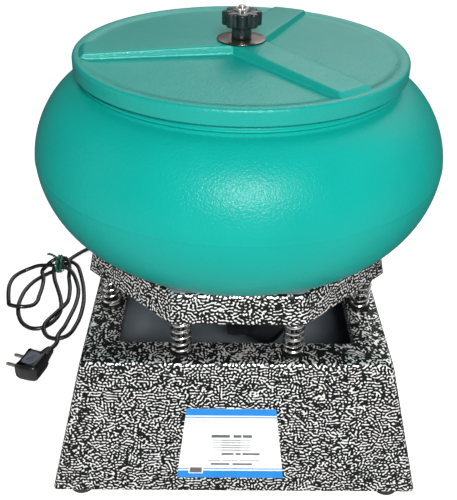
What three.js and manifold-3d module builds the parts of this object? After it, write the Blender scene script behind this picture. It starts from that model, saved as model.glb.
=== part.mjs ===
// Vibratory bowl tumbler: a sprung platform that carries a covered plastic bowl above a
// square sheet-steel base, with the vibrating motor hung under the platform.
// Millimetres, +Z up. The origin is on the floor, under the bowl's axis; -Y is the front.

import * as THREE from 'three';
import { mergeVertices } from 'three/addons/utils/BufferGeometryUtils.js';
import Module from 'manifold-3d';

const wasm = await Module();
wasm.setup();

// ---------------------------------------------------------------- driving dimensions

const GAP = 0.3; // clearance between two pieces that touch
const OVER = 1; // how far a cutting solid runs past the face it cuts

const BASE_BOTTOM = 400; // side of the base at its lower edge
const BASE_TOP = 327; // side of the base at its top face
const BASE_HEIGHT = 153;
const BASE_SHEET = 2;
const BASE_FLANGE = 30; // inward return along the lower edge
const OPENING_LIP = 12; // turned-down edge of that opening

const FOOT_HEIGHT = 12.5;
const FOOT_RADIUS = 14;
const FOOT_INSET_X = 29; // from a foot's centre to the base's lower edge at the side
const FOOT_INSET_Y = 20; // and at the front or rear
const FOOT_SCREW_RADIUS = 2.3;
const FOOT_SCREW_HEAD = 4.8;
const FLOOR_PLATE = 1.5;
const FLOOR_MARGIN = 4; // between the floor plate and the walls

const SPRING_COUNT = 8;
const SPRING_SPACE = 79.5; // from the base's top face to the platform's underside
const SPRING_OUTER = 11.5;
const SPRING_WIRE = 3.4;
const SPRING_TURNS = 8; // open turns, between one closed turn at each end
const SEAT_BRIM = 1; // how far a seat's plate reaches past its spring
const SEAT_EDGE = 8.35; // from a seat to the side edge of the base's top
const SEAT_INSET = 3.15; // and to the opening
const SEAT_PLATE = 2;
const BOSS_CLEARANCE = 0.9; // between a seat's boss and the spring round it
const SEAT_STUD = 3.6;
const SEAT_STUD_HEIGHT = 40;

const PLATFORM_PLATE = 3;
const PLATFORM_MARGIN = 3.38; // from a spring to the corner of the platform's plate
const SKIRT_FLARE = 6.9; // how far the skirt leans out at its lower edge
const SKIRT_HEIGHT = 31.2;
const SKIRT_SHEET = 2;

const BOWL_RADIUS = 218;
const BOWL_WALL = 5;
const BOWL_FOOT = 139; // radius of the flat bottom
const BOWL_EQUATOR = 94.3; // height of the widest ring over the bottom
const BOWL_HEIGHT = 187.7;
const NECK_RADIUS = 164;
const NECK_HEIGHT = 17; // from the shoulder to the mouth
const LOWER_POWER = 1.9; // exponents of the two super-ellipse arcs
const UPPER_POWER = 1.7;
const COLUMN_DROP = 18; // from the mouth down to the column's top
const COLUMN_TOP = 16;
const COLUMN_FOOT = 34;

const LID_CLEARANCE = 3.9; // between the neck and the lid's edge
const LID_HEIGHT = 15.7;
const LID_WALL = 3.2;
const LID_RIM = 11.9; // width of the raised rim
const LID_SKIRT = 3; // thickness of the edge that hangs over the neck
const LID_OVERLAP = 4.8; // how far that edge reaches below the bowl's mouth
const SEAL_HEIGHT = 3.7;
const RIB_WIDTH = 39.6;
const RIB_TOP = 24; // height of the ribs at the middle, over the lid's lower edge
const RIB_END = 19.7; // and where they run out at the rim
const RIB_DIRECTIONS = [-52.3, 67.7, 187.7];
const HUB_FLAT = 28;

const ROD_RADIUS = 4; // M8
const ROD_CLEARANCE = 0.6;
const ROD_BELOW = 9.5; // reach under the platform's plate
const ROD_ABOVE = 34.2; // reach over the top of the lid
const NUT_ACROSS = 13;
const NUT_HEIGHT = 6.5;
const CLAMP_WASHER = 11;
const WASHER_RADIUS = 25;
const WASHER_THICK = 1.6;
const KNOB_RADIUS = 20;
const KNOB_LOBES = 8;
const KNOB_LOBE_DEPTH = 4.4;
const KNOB_STEM = 10.25;
const KNOB_STEM_HEIGHT = 12.6;
const KNOB_HEAD = 14.5;
const INSERT_RADIUS = 7;
const INSERT_PROUD = 3;

const MOTOR_RADIUS = 55;
const STATOR_BORE = 34.3;
const STATOR_LENGTH = 45.7;
const FLANGE_THICK = 4.7;
const CRADLE_RING = 24; // width of the cradle's two rings
const CRADLE_CLEARANCE = 4; // from those rings to the upper weight
const CRADLE_REACH = 5; // and to the motor's body
const CRADLE_PLATE = 4;
const CRADLE_HEIGHT = 42; // from the platform's underside to the motor's flange
const BOLT_RADIUS = 3;
const BOLT_CLEARANCE = 0.5;
const BOLT_ACROSS = 10;
const BOLT_HEAD = 5;
const SLEEVE_RADIUS = 7;
const SHAFT_RADIUS = 6;
const SHAFT_TOP = 12; // under the platform
const SHAFT_BELOW = 23; // reach under the lower weight
const ROTOR_LENGTH = 38;
const BEARING_RADIUS = 14;
const BEARING_LENGTH = 9.4;
const BELL_HEIGHT = 15.7;
const UPPER_WEIGHT_RADIUS = 56;
const LOWER_WEIGHT_RADIUS = 67;
const WEIGHT_HUB = 14;
const WEIGHT_THICK = 10;
const WEIGHT_SPAN = 110; // degrees of the sector
const WEIGHT_COLLAR = 2; // how far a weight's hub stands below it
const LOWER_WEIGHT_GAP = 26; // between the lower bell and the lower weight
const BELL_BOSS = 2.5; // how far the upper bell's boss stands over its crown
const LOWER_WEIGHT_ANGLE = 1; // where each sector's middle points, in degrees
const UPPER_WEIGHT_ANGLE = 91;
const BOX_WIDTH = 27;
const BOX_DEPTH = 11;
const BOX_HEIGHT = 39;
const BOX_X = 4.5;
const BOX_DROP = 72; // lower face, under the motor's flange

const CORD_RADIUS = 3.1;
const GLAND_X = -108;
const GLAND_Z = 45; // height of the gland's centre on the rear wall
const GLAND_LENGTH = 26;
const GLAND_FLANGE = 10;
const GLAND_SHANK = 6;
const GLAND_TAIL = 8; // reach inside the wall
const HANK_HEIGHT = 17;
const TIE_THICK = 1.8;
const TIE_WIDTH = 9;
const PLUG_THICK = 26;
const PLUG_FACE = [-281.5, 12.2]; // where the middle of the pin face lies on the floor
const PLUG_TURN = 160; // direction of the pins, in degrees
const PIN_RADIUS = 2.4;
const PIN_LENGTH = 19;
const PIN_PITCH = 19;

// Sizes and heights that follow from the dimensions above.
const SPRING_ANGLE = Math.PI / SPRING_COUNT; // of the first spring, from +X
const SEAT_RADIUS = SPRING_OUTER + SEAT_BRIM;
const SEAT_BOSS = SPRING_OUTER - SPRING_WIRE - BOSS_CLEARANCE;
const SEAT_X = BASE_TOP / 2 - SEAT_EDGE - SEAT_RADIUS; // of the outermost seats
const SPRING_CIRCLE = SEAT_X / Math.cos(SPRING_ANGLE);
const OPENING = 2 * (SEAT_X - SEAT_RADIUS - SEAT_INSET); // side of the square opening
const PLATFORM_CORNER = SPRING_CIRCLE + SPRING_OUTER + PLATFORM_MARGIN;
const PLATFORM_TOP = 2 * PLATFORM_CORNER * Math.cos(Math.PI / 8); // across flats
const PLATFORM_BOTTOM = PLATFORM_TOP + 2 * SKIRT_FLARE;
const BOWL_SHOULDER = BOWL_HEIGHT - NECK_HEIGHT;
const COLUMN_HEIGHT = BOWL_HEIGHT - COLUMN_DROP;
const LID_RADIUS = NECK_RADIUS + LID_CLEARANCE + LID_SKIRT;
const CRADLE_INNER = Math.max(UPPER_WEIGHT_RADIUS + CRADLE_CLEARANCE, MOTOR_RADIUS + CRADLE_REACH);
const BOLT_CIRCLE = CRADLE_INNER + CRADLE_RING / 2;
const FLANGE_RADIUS = CRADLE_INNER + CRADLE_RING;
const BASE_TOP_Z = FOOT_HEIGHT + BASE_HEIGHT;
const PLATFORM_Z = BASE_TOP_Z + SPRING_SPACE; // underside of the platform's plate
const BOWL_Z = PLATFORM_Z + PLATFORM_PLATE + GAP;
const LID_Z = BOWL_Z + BOWL_HEIGHT - LID_OVERLAP;
const WASHER_Z = LID_Z + RIB_TOP + GAP;
const KNOB_Z = WASHER_Z + WASHER_THICK + GAP;
const ROD_TOP_Z = LID_Z + RIB_TOP + ROD_ABOVE;

// ---------------------------------------------------------------- materials

function finish(color, roughness, metalness = 0) {
  return new THREE.MeshStandardMaterial({ color, roughness, metalness });
}

const HAMMERTONE = finish(0x6f6e6b, 0.35, 0.4);
const TEAL_PLASTIC = finish(0x14b8aa, 0.42);
const BLACK_RUBBER = finish(0x141414, 0.85);
const BRIGHT_STEEL = finish(0xc9c9c6, 0.22, 1);
const DARK_STEEL = finish(0x3f4346, 0.45, 0.8);
const BLACK_PLASTIC = finish(0x0f1c1c, 0.35);
const WASHER_STEEL = finish(0x4a3f37, 0.25, 0.7);
const MOTOR_PAINT = finish(0x23282a, 0.5, 0.3);
const BLACK_PVC = finish(0x161719, 0.55);
const GREEN_TIE = finish(0x0d4a33, 0.4);
const GREY_SEAL = finish(0x4b4f50, 0.8);

// ---------------------------------------------------------------- shape helpers

// A closed three.js geometry as a solid that can be cut and joined.
function solid(geometry) {
  const bare = geometry.index ? geometry.toNonIndexed() : geometry.clone();
  bare.deleteAttribute('normal');
  bare.deleteAttribute('uv');
  const merged = mergeVertices(bare, 1e-3);
  const triVerts = new Uint32Array(merged.index.array);
  const vertProperties = new Float32Array(merged.attributes.position.array);
  return new wasm.Manifold(new wasm.Mesh({ numProp: 3, vertProperties, triVerts }));
}

function surface(manifold) {
  const mesh = manifold.getMesh();
  const geometry = new THREE.BufferGeometry();
  geometry.setAttribute('position', new THREE.BufferAttribute(mesh.vertProperties, 3));
  geometry.setIndex(new THREE.BufferAttribute(mesh.triVerts, 1));
  return geometry;
}

// body plus every solid in added, less every solid in cut
function shaped(body, added, cut) {
  let result = solid(body);
  for (const geometry of added) result = result.add(solid(geometry));
  for (const geometry of cut) result = result.subtract(solid(geometry));
  return surface(result);
}

// A regular prism or frustum that stands on z = 0 with flats facing X and Y.
function frustum(sides, bottomAcross, topAcross, height) {
  const toCorner = 0.5 / Math.cos(Math.PI / sides);
  const [top, bottom] = [topAcross * toCorner, bottomAcross * toCorner];
  const geometry = new THREE.CylinderGeometry(top, bottom, height, sides);
  geometry.rotateY(Math.PI / sides);
  geometry.rotateX(Math.PI / 2);
  return geometry.translate(0, 0, height / 2);
}

function box(x0, x1, y0, y1, z0, z1) {
  const geometry = new THREE.BoxGeometry(x1 - x0, y1 - y0, z1 - z0);
  return geometry.translate((x0 + x1) / 2, (y0 + y1) / 2, (z0 + z1) / 2);
}

function cylinder(radius, z0, z1, x = 0, y = 0, sides = 24) {
  const geometry = new THREE.CylinderGeometry(radius, radius, z1 - z0, sides);
  return geometry.rotateX(Math.PI / 2).translate(x, y, (z0 + z1) / 2);
}

// A body of revolution about Z from [radius, height] points in counter-clockwise order.
function turned(points, sides) {
  const profile = points.map(([radius, height]) => new THREE.Vector2(radius, height));
  return new THREE.LatheGeometry(profile, sides).rotateX(Math.PI / 2);
}

// The same for a ring whose profile closes on itself.
function turnedRing(points, sides) {
  return turned([...points, points[0]], sides);
}

function tubeRing(inner, outer, z0, z1, sides) {
  return turnedRing([[inner, z0], [outer, z0], [outer, z1], [inner, z1]], sides);
}

function hexNut(across, bore, height) {
  return shaped(frustum(6, across, across, height), [], [cylinder(bore, -OVER, height + OVER, 0, 0, 16)]);
}

function extruded(shape, height, curveSegments = 12) {
  return new THREE.ExtrudeGeometry(shape, { depth: height, bevelEnabled: false, curveSegments });
}

// A round cable along a smooth curve through the points.
function cable(points, steps) {
  const path = new THREE.CatmullRomCurve3(points.map((point) => new THREE.Vector3(...point)));
  const section = new THREE.Shape();
  section.absarc(0, 0, CORD_RADIUS, 0, 2 * Math.PI);
  const options = { steps, extrudePath: path, curveSegments: 4, bevelEnabled: false };
  return new THREE.ExtrudeGeometry(section, options);
}

function place(group, name, geometry, material, x = 0, y = 0, z = 0) {
  const mesh = new THREE.Mesh(geometry, material);
  mesh.name = name;
  mesh.position.set(x, y, z);
  group.add(mesh);
  return mesh;
}

function polar(radius, degrees) {
  const angle = THREE.MathUtils.degToRad(degrees);
  return [radius * Math.cos(angle), radius * Math.sin(angle)];
}

// ---------------------------------------------------------------- base

// side of the base's outer faces at a height over its lower edge
function baseSide(height) {
  return BASE_BOTTOM + ((BASE_TOP - BASE_BOTTOM) * height) / BASE_HEIGHT;
}

const WALL_LEAN = Math.atan((BASE_BOTTOM - BASE_TOP) / 2 / BASE_HEIGHT);
const GLAND_Y = baseSide(GLAND_Z - FOOT_HEIGHT) / 2;

function springCentres() {
  const step = 360 / SPRING_COUNT;
  return Array.from({ length: SPRING_COUNT }, (_, i) => polar(SPRING_CIRCLE, (i + 0.5) * step));
}

function footCentres() {
  const x = BASE_BOTTOM / 2 - FOOT_INSET_X;
  const y = BASE_BOTTOM / 2 - FOOT_INSET_Y;
  return [[-x, -y], [x, -y], [x, y], [-x, y]];
}

function screwHoles(radius, z0, z1) {
  return footCentres().map(([x, y]) => cylinder(radius, z0, z1, x, y, 12));
}

// a bore that stands square to the sloping rear wall
function glandHole() {
  const hole = cylinder(GLAND_SHANK + GAP, -3 * BASE_SHEET, 3 * BASE_SHEET, 0, 0, 16);
  return hole.rotateX(-Math.PI / 2 + WALL_LEAN).translate(GLAND_X, GLAND_Y, GLAND_Z - FOOT_HEIGHT);
}

function baseHousing() {
  const inside = BASE_HEIGHT - 2 * BASE_SHEET;
  const bottomInside = baseSide(BASE_SHEET) - 2 * BASE_SHEET;
  const topInside = baseSide(BASE_HEIGHT - BASE_SHEET) - 2 * BASE_SHEET;
  const hollow = frustum(4, bottomInside, topInside, inside).translate(0, 0, BASE_SHEET);
  const rim = OPENING / 2 + BASE_SHEET;
  const lip = box(-rim, rim, -rim, rim, BASE_HEIGHT - OPENING_LIP, BASE_HEIGHT - BASE_SHEET / 2);
  const mouth = OPENING / 2;
  const opening = box(-mouth, mouth, -mouth, mouth, BASE_HEIGHT - OPENING_LIP - OVER, BASE_HEIGHT + OVER);
  const under = BASE_BOTTOM / 2 - BASE_SHEET - BASE_FLANGE;
  const bottomOpening = box(-under, under, -under, under, -OVER, BASE_SHEET + OVER);
  const seatHoles = springCentres().map(([x, y]) => (
    cylinder(SEAT_STUD + GAP, BASE_HEIGHT - BASE_SHEET - OVER, BASE_HEIGHT + OVER, x, y, 12)));
  const shell = solid(frustum(4, BASE_BOTTOM, BASE_TOP, BASE_HEIGHT)).subtract(solid(hollow));
  const cuts = [opening, bottomOpening, glandHole(), ...seatHoles,
    ...screwHoles(FOOT_SCREW_RADIUS + GAP, -OVER, BASE_SHEET + OVER)];
  return shaped(surface(shell), [lip], cuts);
}

// the plate that closes the base from below, resting on the flange
function floorPlate() {
  const half = baseSide(BASE_SHEET + FLOOR_PLATE) / 2 - BASE_SHEET - FLOOR_MARGIN;
  const holes = screwHoles(FOOT_SCREW_RADIUS + GAP, -OVER, FLOOR_PLATE + OVER);
  return shaped(box(-half, half, -half, half, 0, FLOOR_PLATE), [], holes);
}

function foot() {
  const bore = FOOT_SCREW_RADIUS + GAP;
  const recess = FOOT_SCREW_HEAD + 1;
  const top = FOOT_HEIGHT - GAP;
  return turnedRing([
    [recess, 0], [FOOT_RADIUS - 1, 0], [FOOT_RADIUS, 1], [FOOT_RADIUS - 1, top],
    [bore, top], [bore, top / 2], [recess, top / 2],
  ], 14);
}

function footScrew() {
  const head = FOOT_HEIGHT / 2 - 2 * GAP;
  const tip = FOOT_HEIGHT + BASE_SHEET + FLOOR_PLATE + 5;
  return turned([
    [0, head - 3], [FOOT_SCREW_HEAD - 1, head - 3], [FOOT_SCREW_HEAD, head - 2], [FOOT_SCREW_HEAD, head],
    [FOOT_SCREW_RADIUS, head], [FOOT_SCREW_RADIUS, tip], [0, tip + 1],
  ], 8);
}

// ---------------------------------------------------------------- springs

// a flanged guide post: the flange carries the spring and the stud goes through the base
function springSeat() {
  const top = GAP + SEAT_PLATE;
  return turned([
    [0, -9], [SEAT_STUD, -9], [SEAT_STUD, GAP], [SEAT_RADIUS, GAP], [SEAT_RADIUS, top],
    [SEAT_BOSS, top], [SEAT_BOSS, top + 6], [SEAT_STUD, top + 6],
    [SEAT_STUD, SEAT_STUD_HEIGHT], [0, SEAT_STUD_HEIGHT + 1],
  ], 8);
}

class SpringAxis extends THREE.Curve {
  constructor(height) {
    super();
    this.height = height;
  }

  // The turn at each end is closed, so the wire rises there by its own thickness only.
  getPoint(t, target = new THREE.Vector3()) {
    const turns = SPRING_TURNS + 2;
    const turn = t * turns;
    const closed = SPRING_WIRE + GAP;
    const pitch = (this.height - 2 * closed) / SPRING_TURNS;
    const lower = Math.min(turn, 1);
    const upper = Math.max(turn - turns + 1, 0);
    const rise = closed * (lower + upper) + pitch * (turn - lower - upper);
    const radius = SPRING_OUTER - SPRING_WIRE / 2;
    const angle = 2 * Math.PI * turn;
    return target.set(radius * Math.cos(angle), radius * Math.sin(angle), rise);
  }
}

const SPRING_Z = BASE_TOP_Z + GAP + SEAT_PLATE + GAP;

function spring() {
  const height = PLATFORM_Z - GAP - SPRING_Z - SPRING_WIRE;
  const section = new THREE.Shape();
  const sides = 4;
  for (let i = 0; i < sides; i += 1) {
    const [x, y] = polar(SPRING_WIRE / 2, (360 * i) / sides);
    if (i === 0) section.moveTo(x, y);
    else section.lineTo(x, y);
  }
  const steps = (SPRING_TURNS + 2) * 8;
  const options = { steps, extrudePath: new SpringAxis(height), bevelEnabled: false };
  return new THREE.ExtrudeGeometry(section, options).translate(0, 0, SPRING_WIRE / 2);
}

// ---------------------------------------------------------------- platform

function platformAcross(height) {
  return PLATFORM_BOTTOM + ((PLATFORM_TOP - PLATFORM_BOTTOM) * height) / SKIRT_HEIGHT;
}

function boltCentres() {
  return [45, 135, 225, 315].map((angle) => polar(BOLT_CIRCLE, angle));
}

function boltHoles(z0, z1) {
  return boltCentres().map(([x, y]) => cylinder(BOLT_RADIUS + BOLT_CLEARANCE, z0, z1, x, y, 10));
}

// the pressed octagonal plate with its flared skirt, holed for the tie rod and the motor bolts
function platform() {
  const drop = SKIRT_HEIGHT - PLATFORM_PLATE;
  const outer = frustum(8, PLATFORM_BOTTOM, PLATFORM_TOP, SKIRT_HEIGHT).translate(0, 0, -drop);
  const lowInside = platformAcross(-OVER) - 2 * SKIRT_SHEET;
  const highInside = platformAcross(drop) - 2 * SKIRT_SHEET;
  const hollow = frustum(8, lowInside, highInside, drop + OVER).translate(0, 0, -drop - OVER);
  const rodHole = cylinder(ROD_RADIUS + ROD_CLEARANCE, -OVER, PLATFORM_PLATE + OVER, 0, 0, 16);
  return shaped(outer, [], [hollow, rodHole, ...boltHoles(-OVER, PLATFORM_PLATE + OVER)]);
}

// ---------------------------------------------------------------- bowl

// A quarter of a super-ellipse from the widest ring (t = 0) to the flat end (t = 1).
function bulge(wide, narrow, zWide, zFlat, power, t) {
  const angle = (t * Math.PI) / 2;
  const out = Math.max(Math.cos(angle), 0) ** (2 / power);
  const up = Math.sin(angle) ** (2 / power);
  return [narrow + (wide - narrow) * out, zWide + (zFlat - zWide) * up];
}

function bulgeArc(wide, narrow, zWide, zFlat, power, steps = 6) {
  return Array.from({ length: steps + 1 }, (_, i) => bulge(wide, narrow, zWide, zFlat, power, i / steps));
}

function bowl() {
  const inside = BOWL_RADIUS - BOWL_WALL;
  const mouth = NECK_RADIUS - BOWL_WALL;
  const bore = ROD_RADIUS + ROD_CLEARANCE;
  const outerLow = bulgeArc(BOWL_RADIUS, BOWL_FOOT, BOWL_EQUATOR, 0, LOWER_POWER);
  const outerHigh = bulgeArc(BOWL_RADIUS, NECK_RADIUS, BOWL_EQUATOR, BOWL_SHOULDER, UPPER_POWER);
  const innerLow = bulgeArc(inside, BOWL_FOOT, BOWL_EQUATOR, BOWL_WALL, LOWER_POWER);
  const innerHigh = bulgeArc(inside, mouth, BOWL_EQUATOR, BOWL_SHOULDER - BOWL_WALL, UPPER_POWER);
  const ceiling = COLUMN_HEIGHT - BOWL_WALL - 1;
  return turnedRing([
    [COLUMN_FOOT - BOWL_WALL, 0],
    ...outerLow.reverse(),
    ...outerHigh.slice(1),
    [NECK_RADIUS, BOWL_SHOULDER + 4],
    [NECK_RADIUS + 2, BOWL_SHOULDER + 5.5],
    [NECK_RADIUS, BOWL_SHOULDER + 7],
    [NECK_RADIUS, BOWL_HEIGHT],
    [mouth, BOWL_HEIGHT],
    ...innerHigh.reverse(),
    ...innerLow.slice(1),
    [COLUMN_FOOT + 12, BOWL_WALL],
    [COLUMN_FOOT + 3, BOWL_WALL + 4],
    [COLUMN_FOOT - 1, BOWL_WALL + 14],
    [COLUMN_TOP, COLUMN_HEIGHT - 3],
    [COLUMN_TOP - 3, COLUMN_HEIGHT],
    [bore, COLUMN_HEIGHT],
    [bore, ceiling],
    [COLUMN_TOP - BOWL_WALL, ceiling],
  ], 36);
}

// ---------------------------------------------------------------- lid and clamp

// a straight prism of the given width whose side view is [distance from the axis, height] points
function ribPrism(sideView, width, direction) {
  const side = new THREE.Shape(sideView.map(([out, up]) => new THREE.Vector2(out, up)));
  const rib = extruded(side, width).rotateX(Math.PI / 2).translate(0, width / 2, 0);
  return rib.rotateZ(THREE.MathUtils.degToRad(direction));
}

function lid() {
  const skirtInner = LID_RADIUS - LID_SKIRT;
  const rimInner = LID_RADIUS - LID_RIM;
  const underside = LID_OVERLAP + SEAL_HEIGHT + 2 * GAP;
  const edge = 4.4;
  const disc = turned([
    [0, underside], [skirtInner, underside], [skirtInner, 0], [LID_RADIUS, 0],
    [LID_RADIUS, LID_HEIGHT - edge], [LID_RADIUS - 1.3, LID_HEIGHT - 1.3],
    [LID_RADIUS - edge, LID_HEIGHT], [rimInner + 1.5, LID_HEIGHT],
    [rimInner, LID_HEIGHT - LID_WALL], [0, LID_HEIGHT - 0.6],
  ], 48);
  const inPlate = underside + 0.5;
  const toe = rimInner + 7;
  const ribView = [
    [0, inPlate], [toe, inPlate], [toe, LID_HEIGHT - 1.5],
    [rimInner, RIB_END], [HUB_FLAT, RIB_TOP], [0, RIB_TOP],
  ];
  const hollowEnd = rimInner - 5;
  const hollowView = [
    [HUB_FLAT, -OVER], [hollowEnd, -OVER], [hollowEnd, RIB_END - LID_WALL], [HUB_FLAT, RIB_TOP - LID_WALL],
  ];
  const ribs = RIB_DIRECTIONS.map((angle) => ribPrism(ribView, RIB_WIDTH, angle));
  const channels = RIB_DIRECTIONS.map((angle) => (
    ribPrism(hollowView, RIB_WIDTH - 2 * LID_WALL, angle)));
  const rodHole = cylinder(ROD_RADIUS + ROD_CLEARANCE, -OVER, RIB_TOP + OVER, 0, 0, 16);
  return shaped(disc, ribs, [...channels, rodHole]);
}

function lidSeal() {
  return tubeRing(NECK_RADIUS - BOWL_WALL + 0.5, LID_RADIUS - LID_SKIRT - 1.4, 0, SEAL_HEIGHT, 36);
}

function tieRod() {
  const bottom = PLATFORM_Z - ROD_BELOW;
  return turned([
    [0, bottom], [ROD_RADIUS, bottom], [ROD_RADIUS, ROD_TOP_Z - 1],
    [ROD_RADIUS - 1, ROD_TOP_Z], [0, ROD_TOP_Z],
  ], 16);
}

// the scalloped head and stem of the hand knob, bored for its insert
function knob() {
  const outline = new THREE.Shape();
  const steps = KNOB_LOBES * 6;
  for (let i = 0; i < steps; i += 1) {
    const angle = (2 * Math.PI * i) / steps;
    const dip = (KNOB_LOBE_DEPTH * (1 - Math.cos(KNOB_LOBES * angle))) / 2;
    const radius = KNOB_RADIUS - dip;
    const corner = [radius * Math.cos(angle), radius * Math.sin(angle)];
    if (i === 0) outline.moveTo(...corner);
    else outline.lineTo(...corner);
  }
  const head = extruded(outline, KNOB_HEAD).translate(0, 0, KNOB_STEM_HEIGHT);
  const stem = cylinder(KNOB_STEM, 0, KNOB_STEM_HEIGHT + OVER, 0, 0, 24);
  const top = KNOB_STEM_HEIGHT + KNOB_HEAD;
  return shaped(head, [stem], [cylinder(INSERT_RADIUS + GAP, -OVER, top + OVER, 0, 0, 20)]);
}

function knobInsert() {
  const top = KNOB_STEM_HEIGHT + KNOB_HEAD + INSERT_PROUD;
  const bore = ROD_RADIUS + GAP;
  return turnedRing([
    [bore, 1.6], [INSERT_RADIUS, 1.6], [INSERT_RADIUS, top - 1], [INSERT_RADIUS - 1, top], [bore, top],
  ], 20);
}

// ---------------------------------------------------------------- motor, hung from the platform

// Heights here are measured from the platform's underside, so they are negative.
const FLANGE_TOP = -CRADLE_HEIGHT - GAP;
const FLANGE_BOTTOM = FLANGE_TOP - FLANGE_THICK;
const STATOR_TOP = FLANGE_BOTTOM - GAP;
const STATOR_BOTTOM = STATOR_TOP - STATOR_LENGTH;
const LOWER_BELL_TOP = STATOR_BOTTOM - GAP;
const LOWER_BELL_BOTTOM = LOWER_BELL_TOP - BELL_HEIGHT;
const UPPER_BEARING_Z = FLANGE_TOP + 2;
const LOWER_BEARING_Z = LOWER_BELL_BOTTOM + 3;
const UPPER_CROWN = UPPER_BEARING_Z + BEARING_LENGTH + GAP;
const UPPER_WEIGHT_Z = UPPER_CROWN + BELL_BOSS + GAP + WEIGHT_COLLAR;
const LOWER_WEIGHT_Z = LOWER_BELL_BOTTOM - LOWER_WEIGHT_GAP - WEIGHT_THICK;
const SHAFT_BOTTOM = LOWER_WEIGHT_Z - SHAFT_BELOW;

// two rings and four sleeves that hold the motor's flange away from the platform
function motorCradle() {
  const topRing = tubeRing(CRADLE_INNER, FLANGE_RADIUS, -GAP - CRADLE_PLATE, -GAP, 24);
  const lowRing = tubeRing(CRADLE_INNER, FLANGE_RADIUS, -CRADLE_HEIGHT, CRADLE_PLATE - CRADLE_HEIGHT, 24);
  const sleeves = boltCentres().map(([x, y]) => (
    cylinder(SLEEVE_RADIUS, OVER - CRADLE_HEIGHT, -GAP - OVER, x, y, 10)));
  return shaped(topRing, [lowRing, ...sleeves], boltHoles(-CRADLE_HEIGHT - OVER, OVER));
}

function upperBell() {
  const crown = UPPER_CROWN;
  const seat = BEARING_RADIUS + GAP;
  const bore = SHAFT_RADIUS + 1.5;
  const body = turnedRing([
    [bore, crown], [seat, crown], [seat, FLANGE_TOP + 1.5], [seat + 4, FLANGE_TOP + 1.5],
    [seat + 4, crown - 6], [MOTOR_RADIUS - 11, FLANGE_TOP + 1], [MOTOR_RADIUS - 11, FLANGE_BOTTOM],
    [FLANGE_RADIUS, FLANGE_BOTTOM], [FLANGE_RADIUS, FLANGE_TOP], [MOTOR_RADIUS - 3, FLANGE_TOP],
    [MOTOR_RADIUS - 7, FLANGE_TOP + 7], [seat + 6, crown],
    [seat + 4, crown + BELL_BOSS], [bore, crown + BELL_BOSS],
  ], 24);
  return shaped(body, [], boltHoles(FLANGE_BOTTOM - OVER, FLANGE_TOP + OVER));
}

function lowerBell() {
  const seat = BEARING_RADIUS + GAP;
  const bore = SHAFT_RADIUS + 1.5;
  const ledge = LOWER_BEARING_Z - GAP;
  return turnedRing([
    [bore, LOWER_BELL_BOTTOM], [seat + 7, LOWER_BELL_BOTTOM], [seat + 9, LOWER_BELL_BOTTOM + 2],
    [MOTOR_RADIUS - 7, LOWER_BELL_BOTTOM + 6], [MOTOR_RADIUS, LOWER_BELL_TOP - 5],
    [MOTOR_RADIUS, LOWER_BELL_TOP], [MOTOR_RADIUS - 8, LOWER_BELL_TOP],
    [MOTOR_RADIUS - 8, LOWER_BELL_TOP - 3], [seat + 4, LOWER_BELL_BOTTOM + 7],
    [seat + 4, LOWER_BELL_TOP - 1], [seat, LOWER_BELL_TOP - 1], [seat, ledge], [bore, ledge],
  ], 24);
}

function stator() {
  return tubeRing(STATOR_BORE, MOTOR_RADIUS, STATOR_BOTTOM, STATOR_TOP, 28);
}

// the shaft with the rotor's laminated core on it
function rotor() {
  const middle = (STATOR_TOP + STATOR_BOTTOM) / 2;
  const core = STATOR_BORE - 0.7;
  const low = middle - ROTOR_LENGTH / 2;
  const high = middle + ROTOR_LENGTH / 2;
  return turned([
    [0, SHAFT_BOTTOM], [SHAFT_RADIUS, SHAFT_BOTTOM], [SHAFT_RADIUS, low], [core, low], [core, high],
    [SHAFT_RADIUS, high], [SHAFT_RADIUS, -SHAFT_TOP], [0, -SHAFT_TOP],
  ], 28);
}

// a hex bolt whose head bears on the flange; its shank ends inside the platform's plate
function motorBolt() {
  const reach = PLATFORM_PLATE - GAP - FLANGE_BOTTOM + GAP;
  const head = frustum(6, BOLT_ACROSS, BOLT_ACROSS, BOLT_HEAD).translate(0, 0, -BOLT_HEAD);
  return shaped(head, [cylinder(BOLT_RADIUS, -OVER, reach, 0, 0, 10)], []);
}

function bearing() {
  return tubeRing(SHAFT_RADIUS + GAP, BEARING_RADIUS, 0, BEARING_LENGTH, 24);
}

// a fan-shaped eccentric weight round the shaft, its middle along +X
function weight(radius) {
  const half = THREE.MathUtils.degToRad(WEIGHT_SPAN / 2);
  const fan = new THREE.Shape();
  fan.moveTo(0, 0);
  fan.lineTo(...polar(radius, -WEIGHT_SPAN / 2));
  fan.absarc(0, 0, radius, -half, half);
  const hub = cylinder(WEIGHT_HUB, -WEIGHT_COLLAR, WEIGHT_THICK, 0, 0, 20);
  const bore = cylinder(SHAFT_RADIUS + GAP, -WEIGHT_THICK, 2 * WEIGHT_THICK, 0, 0, 20);
  return shaped(extruded(fan, WEIGHT_THICK), [hub], [bore]);
}

function terminalBox() {
  const front = -MOTOR_RADIUS - GAP - BOX_DEPTH;
  const half = BOX_WIDTH / 2;
  const bottom = FLANGE_BOTTOM - BOX_DROP;
  return box(BOX_X - half, BOX_X + half, front, front + BOX_DEPTH, bottom, bottom + BOX_HEIGHT);
}

// ---------------------------------------------------------------- mains lead

// A bushing through the rear wall with a tapered tail; z = 0 is the wall's outer face.
function gland() {
  const bore = CORD_RADIUS + GAP;
  return turnedRing([
    [bore, -GLAND_TAIL], [GLAND_FLANGE - 1, -GLAND_TAIL], [GLAND_FLANGE - 1, -BASE_SHEET - GAP],
    [GLAND_SHANK, -BASE_SHEET - GAP], [GLAND_SHANK, GAP], [GLAND_FLANGE, GAP], [GLAND_FLANGE, 4],
    [GLAND_FLANGE - 2, 6], [CORD_RADIUS + 2, GLAND_LENGTH], [bore, GLAND_LENGTH],
  ], 16);
}

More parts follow.
